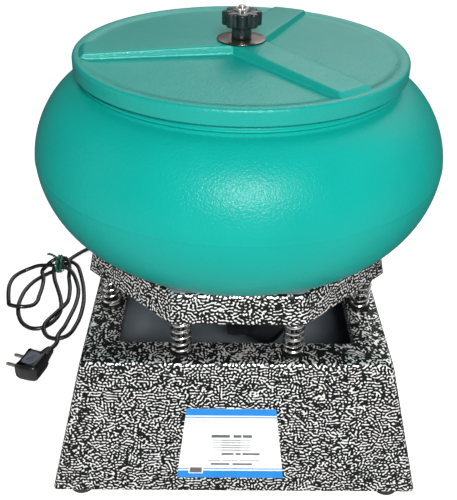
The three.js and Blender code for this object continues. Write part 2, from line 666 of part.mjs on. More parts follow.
// [x, y, z] points along each stretch that isn't wound up
const CORD_ROUTE = [
  [-108, 217.9, 51.1], [-108, 228, 52.4], [-108, 240, 50], [-109, 254, 41], [-112, 268, 27],
  [-118, 281, 14.5], [-127, 293, 6.8], [-140, 305, 3.7], [-158, 316, 3.2], [-180, 324, 3.2],
  [-203, 328, 3.2], [-225, 325, 3.2], [-243, 314, 3.2], [-257, 297, 3.3], [-266, 281, 4],
  [-268, 269.4, 4.6],
];
const TAIL_ROUTE = [[-247, 73.2, 4], [-245.4, 63, 5.6], [-246, 52, 9.4], [-249.6, 40.6, 13]];
const LEAD_ROUTE = [
  [-108, 184.1, 43.1], [-107, 174, 38], [-102, 158, 27], [-90, 140, 23], [-76, 122, 28],
  [-70, 104, 48], [-70, 84, 80], [-71, 60, 116], [-70, 30, 140], [-66, -4, 148], [-54, -36, 147],
  [-36, -54, 144], [-20, -60, 142], [-9.6, -60.6, 141.5],
];

// Outline on the floor of the loops that the tie holds, and the neck under the tie.
const HANK_OUTLINE = [
  [-262, 268.8], [-291, 268.8], [-291, 251], [-310, 250], [-332, 250], [-347, 236], [-352, 206],
  [-344, 174], [-328, 150], [-326, 124], [-314, 102], [-292, 93], [-274, 90], [-262, 74], [-240, 74],
  [-226, 116], [-219, 160], [-224, 200], [-240, 234], [-262, 251],
];
const NECK_LEFT = -291;
const NECK_RIGHT = -262;
const TIE_Y = 254;

function cordHank() {
  const outline = new THREE.Shape(HANK_OUTLINE.map(([x, y]) => new THREE.Vector2(x, y)));
  return extruded(outline, HANK_HEIGHT).translate(0, 0, GAP);
}

// the wire tie that straddles the neck of the hank
function cordTie() {
  const top = GAP + HANK_HEIGHT + GAP;
  const left = NECK_LEFT - GAP;
  const right = NECK_RIGHT + GAP;
  const over = box(left - TIE_THICK, right + TIE_THICK, TIE_Y, TIE_Y + TIE_WIDTH, GAP, top + TIE_THICK);
  return shaped(over, [], [box(left, right, TIE_Y - OVER, TIE_Y + TIE_WIDTH + OVER, -OVER, top)]);
}

// The angled plug in its own frame: the pins point along +X, the cord leaves along -Y.
function plugBody() {
  const outline = new THREE.Shape();
  outline.moveTo(0, 19);
  outline.lineTo(-8, 21);
  outline.lineTo(-24, 20);
  outline.quadraticCurveTo(-31, 18, -31, 11);
  outline.lineTo(-30, -12);
  outline.lineTo(-28, -19);
  outline.lineTo(0, -19);
  const sleeve = new THREE.CylinderGeometry(8.4, 5.4, 20, 16).translate(-20, -26, PLUG_THICK / 2);
  return shaped(extruded(outline, PLUG_THICK, 4), [sleeve], []);
}

function plugPin() {
  const tip = PIN_LENGTH + GAP;
  return turned([
    [0, GAP], [PIN_RADIUS, GAP], [PIN_RADIUS, tip - 1], [PIN_RADIUS - 1, tip], [0, tip],
  ], 12);
}

// ---------------------------------------------------------------- assembly

function buildBase() {
  const base = new THREE.Group();
  place(base, 'base_housing', baseHousing(), HAMMERTONE, 0, 0, FOOT_HEIGHT);
  place(base, 'base_floor_plate', floorPlate(), DARK_STEEL, 0, 0, FOOT_HEIGHT + BASE_SHEET + GAP);
  footCentres().forEach(([x, y], i) => {
    place(base, `foot_${i + 1}`, foot(), BLACK_RUBBER, x, y);
    place(base, `foot_screw_${i + 1}`, footScrew(), BRIGHT_STEEL, x, y);
  });
  springCentres().forEach(([x, y], i) => {
    place(base, `spring_seat_${i + 1}`, springSeat(), BRIGHT_STEEL, x, y, BASE_TOP_Z);
    place(base, `spring_${i + 1}`, spring(), BRIGHT_STEEL, x, y, SPRING_Z);
  });
  return base;
}

function buildMotor() {
  const motor = new THREE.Group();
  place(motor, 'motor_cradle', motorCradle(), DARK_STEEL);
  place(motor, 'motor_upper_bell', upperBell(), MOTOR_PAINT);
  place(motor, 'motor_stator', stator(), MOTOR_PAINT);
  place(motor, 'motor_lower_bell', lowerBell(), MOTOR_PAINT);
  place(motor, 'motor_rotor', rotor(), BRIGHT_STEEL);
  place(motor, 'upper_bearing', bearing(), BRIGHT_STEEL, 0, 0, UPPER_BEARING_Z);
  place(motor, 'lower_bearing', bearing(), BRIGHT_STEEL, 0, 0, LOWER_BEARING_Z);
  place(motor, 'terminal_box', terminalBox(), BLACK_PLASTIC);
  const [upperFan, lowerFan] = [weight(UPPER_WEIGHT_RADIUS), weight(LOWER_WEIGHT_RADIUS)];
  const upper = place(motor, 'upper_weight', upperFan, DARK_STEEL, 0, 0, UPPER_WEIGHT_Z);
  const lower = place(motor, 'lower_weight', lowerFan, DARK_STEEL, 0, 0, LOWER_WEIGHT_Z);
  upper.rotation.z = THREE.MathUtils.degToRad(UPPER_WEIGHT_ANGLE);
  lower.rotation.z = THREE.MathUtils.degToRad(LOWER_WEIGHT_ANGLE);
  boltCentres().forEach(([x, y], i) => {
    place(motor, `motor_bolt_${i + 1}`, motorBolt(), BRIGHT_STEEL, x, y, FLANGE_BOTTOM - GAP);
  });
  motor.position.z = PLATFORM_Z;
  return motor;
}

function buildBowl() {
  const top = new THREE.Group();
  const columnTop = BOWL_Z + COLUMN_HEIGHT + GAP;
  const washer = tubeRing(ROD_RADIUS + GAP, CLAMP_WASHER, 0, 2, 20);
  const nut = hexNut(NUT_ACROSS, ROD_RADIUS + GAP, NUT_HEIGHT);
  place(top, 'platform', platform(), HAMMERTONE, 0, 0, PLATFORM_Z);
  place(top, 'bowl', bowl(), TEAL_PLASTIC, 0, 0, BOWL_Z);
  place(top, 'tie_rod', tieRod(), BRIGHT_STEEL);
  place(top, 'platform_nut', nut, BRIGHT_STEEL, 0, 0, PLATFORM_Z - GAP - NUT_HEIGHT);
  place(top, 'bowl_washer', washer, BRIGHT_STEEL, 0, 0, columnTop);
  place(top, 'bowl_nut', nut, BRIGHT_STEEL, 0, 0, columnTop + 2 + GAP);
  return top;
}

function buildLid() {
  const cover = new THREE.Group();
  const washer = tubeRing(ROD_RADIUS + GAP, WASHER_RADIUS, 0, WASHER_THICK, 32);
  place(cover, 'lid', lid(), TEAL_PLASTIC, 0, 0, LID_Z);
  place(cover, 'lid_seal', lidSeal(), GREY_SEAL, 0, 0, LID_Z + LID_OVERLAP + GAP);
  place(cover, 'lid_washer', washer, WASHER_STEEL, 0, 0, WASHER_Z);
  place(cover, 'knob', knob(), BLACK_PLASTIC, 0, 0, KNOB_Z);
  place(cover, 'knob_insert', knobInsert(), BRIGHT_STEEL, 0, 0, KNOB_Z);
  return cover;
}

function buildLead() {
  const lead = new THREE.Group();
  const bushing = place(lead, 'cable_gland', gland(), BLACK_RUBBER, GLAND_X, GLAND_Y, GLAND_Z);
  bushing.rotation.x = -Math.PI / 2 + WALL_LEAN;
  place(lead, 'motor_lead', cable(LEAD_ROUTE, 28), BLACK_PVC);
  place(lead, 'power_cord', cable(CORD_ROUTE, 30), BLACK_PVC);
  place(lead, 'cord_hank', cordHank(), BLACK_PVC);
  place(lead, 'cord_tie', cordTie(), GREEN_TIE);
  place(lead, 'cord_tail', cable(TAIL_ROUTE, 6), BLACK_PVC);
  const plug = new THREE.Group();
  place(plug, 'plug_body', plugBody(), BLACK_PVC);
  [-1, 1].forEach((side, i) => {
    const y = (side * PIN_PITCH) / 2;
    const pin = place(plug, `plug_pin_${i + 1}`, plugPin(), BRIGHT_STEEL, 0, y, PLUG_THICK / 2);
    pin.rotation.y = Math.PI / 2;
  });
  plug.position.set(...PLUG_FACE, 0);
  plug.rotation.z = THREE.MathUtils.degToRad(PLUG_TURN);
  lead.add(plug);
  return lead;
}

const tumbler = new THREE.Group();
tumbler.add(buildBase(), buildBowl(), buildMotor(), buildLid(), buildLead());

export default tumbler;
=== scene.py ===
import math

import bmesh
import bpy
import numpy as np
from mathutils import Matrix, Vector


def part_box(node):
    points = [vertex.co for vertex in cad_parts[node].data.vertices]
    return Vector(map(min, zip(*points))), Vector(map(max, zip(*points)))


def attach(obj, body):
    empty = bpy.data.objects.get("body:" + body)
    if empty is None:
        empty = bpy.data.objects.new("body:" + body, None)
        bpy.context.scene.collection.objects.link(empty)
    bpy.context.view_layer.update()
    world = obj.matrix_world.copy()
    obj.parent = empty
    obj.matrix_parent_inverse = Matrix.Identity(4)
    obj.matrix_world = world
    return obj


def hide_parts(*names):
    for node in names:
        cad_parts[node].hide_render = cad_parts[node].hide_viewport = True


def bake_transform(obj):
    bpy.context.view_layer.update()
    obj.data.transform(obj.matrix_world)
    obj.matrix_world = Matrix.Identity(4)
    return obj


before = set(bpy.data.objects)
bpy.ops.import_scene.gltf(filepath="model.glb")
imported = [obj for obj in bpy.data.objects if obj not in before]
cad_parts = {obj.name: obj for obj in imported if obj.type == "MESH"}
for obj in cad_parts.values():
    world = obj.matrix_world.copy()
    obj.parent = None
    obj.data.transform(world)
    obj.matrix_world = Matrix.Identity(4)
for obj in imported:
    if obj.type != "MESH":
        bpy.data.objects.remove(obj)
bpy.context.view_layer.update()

# ---------- the camera
# A normal lens held above the front of the bench, a little left of the middle and
# tipped down, so that it looks over the lid and into the gap under the platform.

LENS = 53.35  # millimetres, on a sensor 36 mm on its long side
EYE = Vector((-0.02155, -0.7516, 0.6744))
TIP, TURN, ROLL = (math.radians(angle) for angle in (32.13, 0.98, 1.18))

look = Vector((math.sin(TURN) * math.cos(TIP), math.cos(TURN) * math.cos(TIP), -math.sin(TIP)))
level = Vector((math.cos(TURN), -math.sin(TURN), 0))
rise = level.cross(look)
across = level * math.cos(ROLL) + rise * math.sin(ROLL)
upward = rise * math.cos(ROLL) - level * math.sin(ROLL)
camera = bpy.data.objects.new("camera", bpy.data.cameras.new("camera"))
camera.data.lens = LENS
camera.data.sensor_width = 36
camera.matrix_world = Matrix.Translation(EYE) @ Matrix((across, upward, -look)).transposed().to_4x4()
bpy.context.scene.collection.objects.link(camera)
bpy.context.scene.camera = camera

# ---------- mains flex
# Black PVC flex, 6.2 mm across and about 1.69 m long. It leaves the rear of the base, curls
# over the bench to the left, and its spare length lies in four loose loops under a wire tie.

FLEX_RADIUS = 0.0031
FLEX_EXIT = (-0.108, 0.2179, 0.0511)
FLEX_OUT = [
    FLEX_EXIT, (-0.108, 0.228, 0.0524), (-0.108, 0.240, 0.0500), (-0.109, 0.254, 0.0410),
    (-0.112, 0.268, 0.0270), (-0.118, 0.281, 0.0145), (-0.127, 0.293, 0.0068),
    (-0.140, 0.305, 0.0037), (-0.158, 0.316, 0.0032), (-0.180, 0.324, 0.0032),
    (-0.203, 0.328, 0.0032), (-0.225, 0.325, 0.0032), (-0.243, 0.314, 0.0032),
    (-0.257, 0.297, 0.0033), (-0.266, 0.281, 0.0040), (-0.268, 0.2694, 0.0046),
]
FLEX_TAIL = [
    (-0.247, 0.0732, 0.0040), (-0.2454, 0.063, 0.0056), (-0.246, 0.052, 0.0094),
    (-0.2496, 0.0406, 0.0130),
]
# The loops lie flat, so their points give only the place on the bench.
LOOP_WIDE = [
    (-0.275, 0.257), (-0.287, 0.246), (-0.300, 0.233), (-0.312, 0.216), (-0.320, 0.192),
    (-0.322, 0.165), (-0.320, 0.145), (-0.314, 0.125), (-0.304, 0.108), (-0.290, 0.098),
    (-0.276, 0.099), (-0.265, 0.109), (-0.258, 0.124), (-0.256, 0.142), (-0.260, 0.166),
    (-0.269, 0.193), (-0.280, 0.222),
]
LOOP_RIGHT = [
    (-0.2855, 0.2450), (-0.2820, 0.2570), (-0.2725, 0.2648), (-0.2602, 0.2654), (-0.2500, 0.2590),
    (-0.2440, 0.2460), (-0.232, 0.205), (-0.225, 0.164), (-0.2245, 0.126), (-0.2278, 0.103),
    (-0.2318, 0.0880), (-0.2390, 0.0785), (-0.2505, 0.0748), (-0.2620, 0.0783), (-0.2695, 0.0880),
    (-0.2705, 0.100), (-0.2665, 0.114), (-0.259, 0.129), (-0.252, 0.145), (-0.249, 0.168),
    (-0.252, 0.199), (-0.2585, 0.228),
]
LOOP_LEFT = [
    (-0.2602, 0.2470), (-0.2643, 0.2600), (-0.2748, 0.2679), (-0.2880, 0.2679), (-0.2987, 0.2600),
    (-0.3030, 0.2470), (-0.3022, 0.2350), (-0.297, 0.220), (-0.2955, 0.198), (-0.2955, 0.178),
    (-0.2955, 0.1655), (-0.2998, 0.1523), (-0.3105, 0.1442), (-0.3239, 0.1442), (-0.3348, 0.1523),
    (-0.3392, 0.1655), (-0.344, 0.184), (-0.348, 0.208), (-0.3455, 0.230), (-0.334, 0.2455),
    (-0.316, 0.251), (-0.300, 0.249), (-0.283, 0.246),
]
LOOP_HOME = [
    (-0.267, 0.243), (-0.253, 0.231), (-0.243, 0.212), (-0.237, 0.188), (-0.236, 0.157),
    (-0.2395, 0.126), (-0.243, 0.101),
]


def through(points, step):
    """The points of a smooth curve through these, about step apart."""
    knots = np.array(points, float)
    knots = np.vstack([2 * knots[0] - knots[1], knots, 2 * knots[-1] - knots[-2]])
    line = []
    for a, b, c, d in zip(knots, knots[1:], knots[2:], knots[3:]):
        count = max(2, round(float(np.linalg.norm(c - b)) / step))
        for t in np.arange(count) / count:
            bend = (2 * a - 5 * b + 4 * c - d) * t * t + (3 * b - a - 3 * c + d) * t ** 3
            line.append(0.5 * (2 * b + (c - a) * t + bend))
    return np.array([*line, knots[-2]])


def laid(line, radius, humps):
    """The line with its height raised where a later stretch crosses an earlier one."""
    along = np.concatenate([[0], np.cumsum(np.linalg.norm(np.diff(line[:, :2], axis=0), axis=1))])
    apart = np.linalg.norm(line[:, None, :2] - line[None, :, :2], axis=2)
    behind = along[:, None] - along[None, :]
    crossing = (behind > 5 * radius) & (apart < 2 * radius)
    over = np.sqrt(np.maximum((2 * radius) ** 2 - apart ** 2, 0))
    height = line[:, 2].copy()
    for _ in range(4):
        needed = np.where(crossing, height[None, :] + over, 0).max(1)
        needed = np.maximum(needed, line[:, 2])
        arch = needed[None, :] - behind ** 2 / (2 * humps)
        height = np.maximum(arch.max(1), line[:, 2])
    for _ in range(12):
        height[1:-1] = (height[:-2] + 2 * height[1:-1] + height[2:]) / 4
    return np.column_stack([line[:, :2], height])


FLEX_STEP = 0.003
loops = [(x, y, FLEX_RADIUS + 0.0001) for x, y in LOOP_WIDE + LOOP_RIGHT + LOOP_LEFT + LOOP_HOME]
flex_line = laid(through(FLEX_OUT + loops + FLEX_TAIL, FLEX_STEP), FLEX_RADIUS, humps=0.035)

flex_curve = bpy.data.curves.new("mains_flex", "CURVE")
flex_curve.dimensions = "3D"
flex_curve.bevel_depth = FLEX_RADIUS
flex_curve.bevel_resolution = 4
flex_curve.use_fill_caps = True
spline = flex_curve.splines.new("POLY")
spline.points.add(len(flex_line) - 1)
for point, place in zip(spline.points, flex_line):
    point.co = (*place, 1)
spline.use_smooth = True
flex = bpy.data.objects.new("mains_flex", flex_curve)
bpy.context.scene.collection.objects.link(flex)


class Finish:
    """A procedural material in the making: its shader and the ways to pattern it."""

    def __init__(self, name, colour, roughness, metallic=0.0):
        self.material = bpy.data.materials.new(name)
        self.material.use_nodes = True
        self.nodes = self.material.node_tree.nodes
        self.links = self.material.node_tree.links
        self.shader = self.nodes["Principled BSDF"]
        self.shader.inputs["Base Color"].default_value = (*colour, 1)
        self.shader.inputs["Roughness"].default_value = roughness
        self.shader.inputs["Metallic"].default_value = metallic
        self.place = self.nodes.new("ShaderNodeTexCoord").outputs["Object"]

    def noise(self, size, detail, distortion=0.0, stretch=(1, 1, 1)):
        """A soft random pattern whose blobs are about size metres apart."""
        pattern = self.nodes.new("ShaderNodeTexNoise")
        pattern.inputs["Scale"].default_value = 1 / size
        pattern.inputs["Detail"].default_value = detail
        pattern.inputs["Distortion"].default_value = distortion
        squeeze = self.nodes.new("ShaderNodeMapping")
        squeeze.inputs["Scale"].default_value = stretch
        self.links.new(self.place, squeeze.inputs["Vector"])
        self.links.new(squeeze.outputs["Vector"], pattern.inputs["Vector"])
        return pattern.outputs["Fac"]

    def shades(self, pattern, *stops):
        """Colours the surface by the pattern: each stop is (place, colour)."""
        ramp = self.nodes.new("ShaderNodeValToRGB")
        ramp.color_ramp.elements[0].position = stops[0][0]
        ramp.color_ramp.elements[1].position = stops[-1][0]
        for place, _ in stops[1:-1]:
            ramp.color_ramp.elements.new(place)
        for element, (_, colour) in zip(ramp.color_ramp.elements, stops):
            element.color = (*colour, 1)
        self.links.new(pattern, ramp.inputs["Fac"])
        self.links.new(ramp.outputs["Color"], self.shader.inputs["Base Color"])

    def drives(self, socket, pattern, start, end, low, high):
        """The shader's socket runs from low to high as the pattern goes from start to end."""
        spread = self.nodes.new("ShaderNodeMapRange")
        for key, value in (("From Min", start), ("From Max", end), ("To Min", low), ("To Max", high)):
            spread.inputs[key].default_value = value
        self.links.new(pattern, spread.inputs["Value"])
        self.links.new(spread.outputs["Result"], self.shader.inputs[socket])

    def roughens(self, pattern, low, high):
        """Runs the roughness from low to high over the middle of the pattern."""
        self.drives("Roughness", pattern, 0.3, 0.7, low, high)

    def relief(self, pattern, depth, strength=1.0):
        """Raises the surface by the pattern, up to depth metres."""
        bump = self.nodes.new("ShaderNodeBump")
        bump.inputs["Distance"].default_value = depth
        bump.inputs["Strength"].default_value = strength
        self.links.new(pattern, bump.inputs["Height"])
        if self.shader.inputs["Normal"].links:
            self.links.new(self.shader.inputs["Normal"].links[0].from_socket, bump.inputs["Normal"])
        self.links.new(bump.outputs["Normal"], self.shader.inputs["Normal"])

    def patterned(self, **patterns):
        """Patterns shade, rough or grain by noise: (size, detail, first, second, stretch)."""
        uses = {"shade": self.shades, "rough": self.roughens, "grain": self.relief}
        for use, values in patterns.items():
            size, detail, first, second, stretch = (*values, (1, 1, 1))[:5]
            uses[use](self.noise(size, detail, stretch=stretch), first, second)
        return self

    def coats(self, *things):
        """Gives the things this finish, after any they have."""
        for thing in things:
            thing.data.materials.append(self.material)


black_pvc = Finish("black_pvc", (0.006, 0.006, 0.007), 0.26).patterned(
    shade=(0.03, 2, (0.35, (0.004, 0.004, 0.005)), (0.7, (0.010, 0.010, 0.011))),
    rough=(0.008, 3, 0.20, 0.34), grain=(0.0012, 2, 0.00008, 0.5))
black_pvc.coats(flex)
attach(flex, "base")
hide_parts("power_cord", "cord_hank", "cord_tail")

# ---------- wire tie
# A green plastic-coated twist tie wound twice round the loops at the top of the hank,
# its two ends twisted together and left standing.

TIE_X = -0.279
TIE_FRONT, TIE_REAR = 0.2395, 0.2725
TIE_TOP = 0.0205
TIE_WIDTH, TIE_THICK, TIE_BEVEL = 0.0042, 0.0009, 0.0007
TIE_TURNS, TIE_STEPS = 2.25, 48


def link(name, mesh):
    thing = bpy.data.objects.new(name, mesh)
    bpy.context.scene.collection.objects.link(thing)
    return thing


def meshed(name, verts, faces, sharp):
    """A smooth mesh whose edges stay crisp where they are sharper than sharp degrees."""
    mesh = bpy.data.meshes.new(name)
    mesh.from_pydata(verts, [], faces)
    mesh.validate()
    mesh.shade_smooth()
    mesh.set_sharp_from_angle(angle=math.radians(sharp))
    return link(name, mesh)


def skinned(name, rings, round_path=False, sharp=35):
    """A mesh over rings of points, closed at both ends unless the path comes round."""
    count = len(rings[0])
    faces = []
    for i in range(len(rings) if round_path else len(rings) - 1):
        here, there = i * count, (i + 1) % len(rings) * count
        for j in range(count):
            k = (j + 1) % count
            faces.append((here + j, here + k, there + k, there + j))
    if not round_path:
        faces.append(tuple(reversed(range(count))))
        faces.append(tuple((len(rings) - 1) * count + j for j in range(count)))
    return meshed(name, [tuple(point) for ring in rings for point in ring], faces, sharp)


def framed(line):
    """Along a line of points: each point with its direction and two square vectors."""
    line = np.array(line, float)
    ways = np.gradient(line, axis=0)
    ways /= np.linalg.norm(ways, axis=1)[:, None]
    side = np.cross(ways[0], (0, 0, 1) if abs(ways[0][2]) < 0.9 else (0, 1, 0))
    for point, way in zip(line, ways):
        side = side - way * np.dot(side, way)
        side /= np.linalg.norm(side)
        yield point, way, side, np.cross(way, side)


def swept(name, line, outline, sharp=35):
    """The outline, [(sideways, upwards)], carried along the line."""
    rings = [[point + side * a + top * b for a, b in outline] for point, _, side, top in framed(line)]
    return skinned(name, rings, sharp=sharp)


def disc(radius, count):
    """A circle of points; radius is one size, or a list with one for each point."""
    turn = 2 * math.pi / count
    radii = radius if isinstance(radius, list) else [radius] * count
    return [(r * math.cos(turn * i), r * math.sin(turn * i)) for i, r in enumerate(radii)]


def joined(name, things):
    """Several meshes as one, under this name."""
    with bpy.context.temp_override(active_object=things[0], selected_editable_objects=things):
        bpy.ops.object.join()
    things[0].name = name
    things[0].data.name = name
    return things[0]


tie_middle = ((TIE_FRONT + TIE_REAR) / 2, TIE_TOP / 2 + 0.0017)
tie_half = ((TIE_REAR - TIE_FRONT) / 2, TIE_TOP / 2)
tie_line = []
for i in range(int(TIE_STEPS * TIE_TURNS)):
    angle = 2 * math.pi * i / TIE_STEPS - 0.4 * math.pi
    out = [abs(part) ** 0.7 * math.copysign(1, part) for part in (math.cos(angle), math.sin(angle))]
    wander = 0.0016 * math.sin(1.7 * angle)
    tie_line.append((
        TIE_X - 0.003 + 0.0055 * i / TIE_STEPS + wander,
        tie_middle[0] + tie_half[0] * out[0],
        tie_middle[1] + tie_half[1] * out[1],
    ))
half, bevel = TIE_WIDTH / 2, TIE_WIDTH / 2 - TIE_BEVEL
tie_flat = [(-half, 0), (-bevel, -TIE_THICK / 3), (0, -TIE_THICK / 2), (bevel, -TIE_THICK / 3),
            (half, 0), (bevel, TIE_THICK / 3), (0, TIE_THICK / 2), (-bevel, TIE_THICK / 3)]
tie_parts = [swept("tie_band", tie_line, tie_flat)]
for phase in (0, math.pi):
    twist = []
    for along in np.linspace(0, 1, 40):
        spin = phase + along * 5 * math.pi
        spread = 0.0011 + 0.003 * max(along - 0.75, 0)
        twist.append((
            TIE_X + 0.002 - 0.019 * along + spread * math.cos(spin),
            0.252 + 0.009 * along + spread * math.sin(spin),
            TIE_TOP + 0.0012 + 0.006 * math.sin(2.2 * along) + 0.0006 * math.cos(spin),
        ))
    tie_parts.append(swept("tie_end", twist, disc(0.0011, 8)))
tie = joined("wire_tie", tie_parts)
green_coat = Finish("green_coat", (0.004, 0.10, 0.055), 0.22).patterned(
    shade=(0.006, 2, (0.35, (0.002, 0.045, 0.028)), (0.7, (0.010, 0.16, 0.09))),
    rough=(0.004, 2, 0.14, 0.35), grain=(0.003, 3, 0.0002, 0.6))
green_coat.coats(tie)
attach(tie, "base")
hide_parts("cord_tie")

# ---------- strain relief
# A moulded rubber bushing snapped into the rear wall, with a stiff flange outside and
# a tail that tapers along the flex in narrow ribs.

WALL_LEAN = math.atan(0.0365 / 0.153)
RELIEF_AT = (-0.108, 0.19225, 0.045)
RELIEF_LENGTH, RELIEF_RIBS = 0.026, 6


def level_ring(radius, height, count):
    return [(x, y, height) for x, y in disc(radius, count)]


def lathe(name, outline, count=64, sharp=35, closed=False):
    """The outline, [(radius, height)], turned round Z. It ends on the axis or comes round."""
    verts, rows = [], []
    for radius, height in outline:
        if radius < 1e-7:
            rows.append([len(verts)] * count)
            verts.append((0, 0, height))
        else:
            rows.append(list(range(len(verts), len(verts) + count)))
            verts += level_ring(radius, height, count)
    faces = []
    for low, high in zip(rows, rows[1:] + rows[:1] if closed else rows[1:]):
        for j in range(count):
            k = (j + 1) % count
            faces.append(tuple(dict.fromkeys([low[j], low[k], high[k], high[j]])))
    return meshed(name, verts, faces, sharp)


def placed(thing, place, turn=0, axis="Z"):
    """Turns the thing's mesh about an axis through the origin, then moves it to its place."""
    thing.data.transform(Matrix.Translation(place) @ Matrix.Rotation(turn, 4, axis))


def eased(points, radii, steps=5, closed=False):
    """The outline with its corners rounded: radii gives one radius for all, or one a point."""
    if isinstance(radii, (int, float)):
        radii = [radii] * len(points)
    result = []
    total = len(points)
    for i, (corner, radius) in enumerate(zip(points, radii)):
        if radius <= 0 or (not closed and i in (0, total - 1)):
            result.append(tuple(corner))
            continue
        here = Vector(corner)
        back = Vector(points[i - 1]) - here
        ahead = Vector(points[(i + 1) % total]) - here
        reach = min(radius, 0.49 * back.length, 0.49 * ahead.length)
        first, second = here + back.normalized() * reach, here + ahead.normalized() * reach
        for k in range(steps + 1):
            t = k / steps
            result.append(tuple(first * (1 - t) ** 2 + here * 2 * t * (1 - t) + second * t * t))
    return result


relief_side = [(0.0032, -0.008), (0.009, -0.008), (0.009, -0.0023), (0.006, -0.0023), (0.006, 0.0003),
               (0.0100, 0.0003), (0.0100, 0.0038), (0.0082, 0.0052)]
for share in np.arange(RELIEF_RIBS) / RELIEF_RIBS:
    start = 0.0062 + (RELIEF_LENGTH - 0.0082) * share
    wide = 0.0078 - 0.0026 * share
    relief_side += [(wide - 0.0012, start), (wide - 0.0012, start + 0.0011),
                    (wide, start + 0.0013), (wide - 0.0003, start + 0.0026)]
relief_side += [(0.0050, RELIEF_LENGTH - 0.001), (0.0043, RELIEF_LENGTH), (0.0032, RELIEF_LENGTH)]
relief = lathe("strain_relief", eased(relief_side, 0.0004, 3, closed=True), 40, closed=True)
placed(relief, RELIEF_AT, -math.pi / 2 + WALL_LEAN, "X")
black_rubber = Finish("black_rubber", (0.018, 0.018, 0.018), 0.7).patterned(
    shade=(0.01, 4, (0.3, (0.012, 0.012, 0.012)), (0.7, (0.030, 0.029, 0.028))),
    rough=(0.004, 4, 0.55, 0.85), grain=(0.0009, 3, 0.0001, 0.6))
black_rubber.coats(relief)
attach(relief, "base")
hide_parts("cable_gland")

# ---------- mains plug
# An angled two-pin plug moulded in black PVC, lying on its flat side: a block with chamfered
# corners, a paler grip pad let into its upper face, a ribbed sleeve and two round pins.

PLUG_FACE = Vector((-0.2815, 0.0122, 0))
PLUG_TURN = math.radians(160)
PLUG_THICK = 0.026
PIN_PITCH, PIN_RADIUS, PIN_LENGTH, PIN_COLLAR = 0.019, 0.0024, 0.019, 0.0004
SLEEVE_RIBS = 5

plug_frame = Matrix.Translation(PLUG_FACE) @ Matrix.Rotation(PLUG_TURN, 4, "Z")


def bordered(low, high, border, between=()):
    """Layers of a slab with the same border, [(depth, inset)], at its foot and its top."""
    feet = [(low + depth, inset) for depth, inset in border]
    return [*feet, *between, *((high - depth, inset) for depth, inset in reversed(border))]


def layered(name, outline, layers):
    """A slab over the outline: each layer is (height, how far its edge is drawn in)."""
    middle = Vector(np.array(outline).mean(0))
    rings = []
    for height, inset in layers:
        ring = []
        for i, point in enumerate(outline):
            here = Vector(point)
            way = Vector(outline[(i + 1) % len(outline)]) - Vector(outline[i - 1])
            inward = Vector((-way.y, way.x)).normalized()
            if inward.dot(middle - here) < 0:
                inward = -inward
            ring.append((*(here + inward * inset), height))
        rings.append(ring)
    return skinned(name, rings)


plug_plan = eased([(0, 0.019), (-0.008, 0.021), (-0.024, 0.020), (-0.031, 0.017), (-0.031, 0.008),
                   (-0.030, -0.012), (-0.028, -0.019), (0, -0.019)],
                  [0.0015, 0.003, 0.006, 0.004, 0.004, 0.004, 0.003, 0.0015], closed=True)
plug_edge = [(0.0002, 0.0052), (0.0010, 0.0031), (0.0026, 0.0013), (0.0048, 0.0003), (0.0070, 0)]
block = layered("plug_block", plug_plan, bordered(0, PLUG_THICK, plug_edge, [(PLUG_THICK / 2, -0.0003)]))
sleeve_side = [(0, 0.004), (0.0090, 0.004)]
for i in range(SLEEVE_RIBS):
    start = -0.0005 - 0.0034 * i
    wide = 0.0088 - 0.00062 * i
    sleeve_side += [(wide, start), (wide - 0.0002, start - 0.0018),
                    (wide - 0.0012, start - 0.0021), (wide - 0.0012, start - 0.0031)]
sleeve_side += [(0.0054, -0.0178), (0.0046, -0.0185), (0, -0.0185)]
sleeve = lathe("plug_sleeve", eased(sleeve_side, 0.0004, 3), 40)
placed(sleeve, (-0.020, -0.0185, PLUG_THICK / 2), -math.pi / 2, "X")
plug = joined("plug_moulding", [block, sleeve])
pad_plan = eased([(-0.0055, 0.0125), (-0.0205, 0.0125), (-0.0245, 0.006), (-0.0245, -0.006),
                  (-0.0205, -0.0120), (-0.0055, -0.0120)], 0.005, closed=True)
pad = layered("plug_grip_pad", pad_plan, [
    (PLUG_THICK - 0.0008, 0), (PLUG_THICK + 0.0003, 0.0003), (PLUG_THICK + 0.0007, 0.0014),
    (PLUG_THICK + 0.0004, 0.0035), (PLUG_THICK + 0.0002, 0.0055)])
for piece in (plug, pad):
    piece.data.transform(plug_frame)
black_pvc.coats(plug)
grip = Finish("grip_pad", (0.05, 0.06, 0.075), 0.5).patterned(
    shade=(0.01, 3, (0.3, (0.075, 0.090, 0.115)), (0.7, (0.105, 0.122, 0.150))),
    grain=(0.0014, 1, 0.0002, 1.0, (1, 4, 1)))
grip.coats(pad)
nickel = Finish("nickel_plate", (0.46, 0.45, 0.43), 0.22, 1.0).patterned(
    rough=(0.003, 3, 0.12, 0.30), grain=(0.0006, 2, 0.00003, 0.5, (0.2, 1, 1)))
tip = PIN_LENGTH + 0.0003
pin_side = [(0, 0.0003), (PIN_RADIUS + PIN_COLLAR, 0.0003), (PIN_RADIUS + PIN_COLLAR, 0.0016),
            (PIN_RADIUS, 0.0020), (PIN_RADIUS, tip - 0.0018), (PIN_RADIUS - 0.0006, tip - 0.0006),
            (PIN_RADIUS - 0.0014, tip), (0, tip)]
for side in (-1, 1):
    pin = lathe("plug_prong_left" if side < 0 else "plug_prong_right", eased(pin_side, 0.0003, 3), 32)
    placed(pin, (0, side * PIN_PITCH / 2, PLUG_THICK / 2), math.pi / 2, "Y")
    pin.data.transform(plug_frame)
    nickel.coats(pin)
    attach(pin, "base")
    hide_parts("plug_pin_1" if side < 0 else "plug_pin_2")
for piece in (plug, pad):
    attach(piece, "base")
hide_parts("plug_body")

# ---------- base housing
# A tapered square box folded from 2 mm steel sheet, open below and with a square hole in its
# top whose edge is turned down. Outside it has grey and black hammertone enamel, inside plain paint.

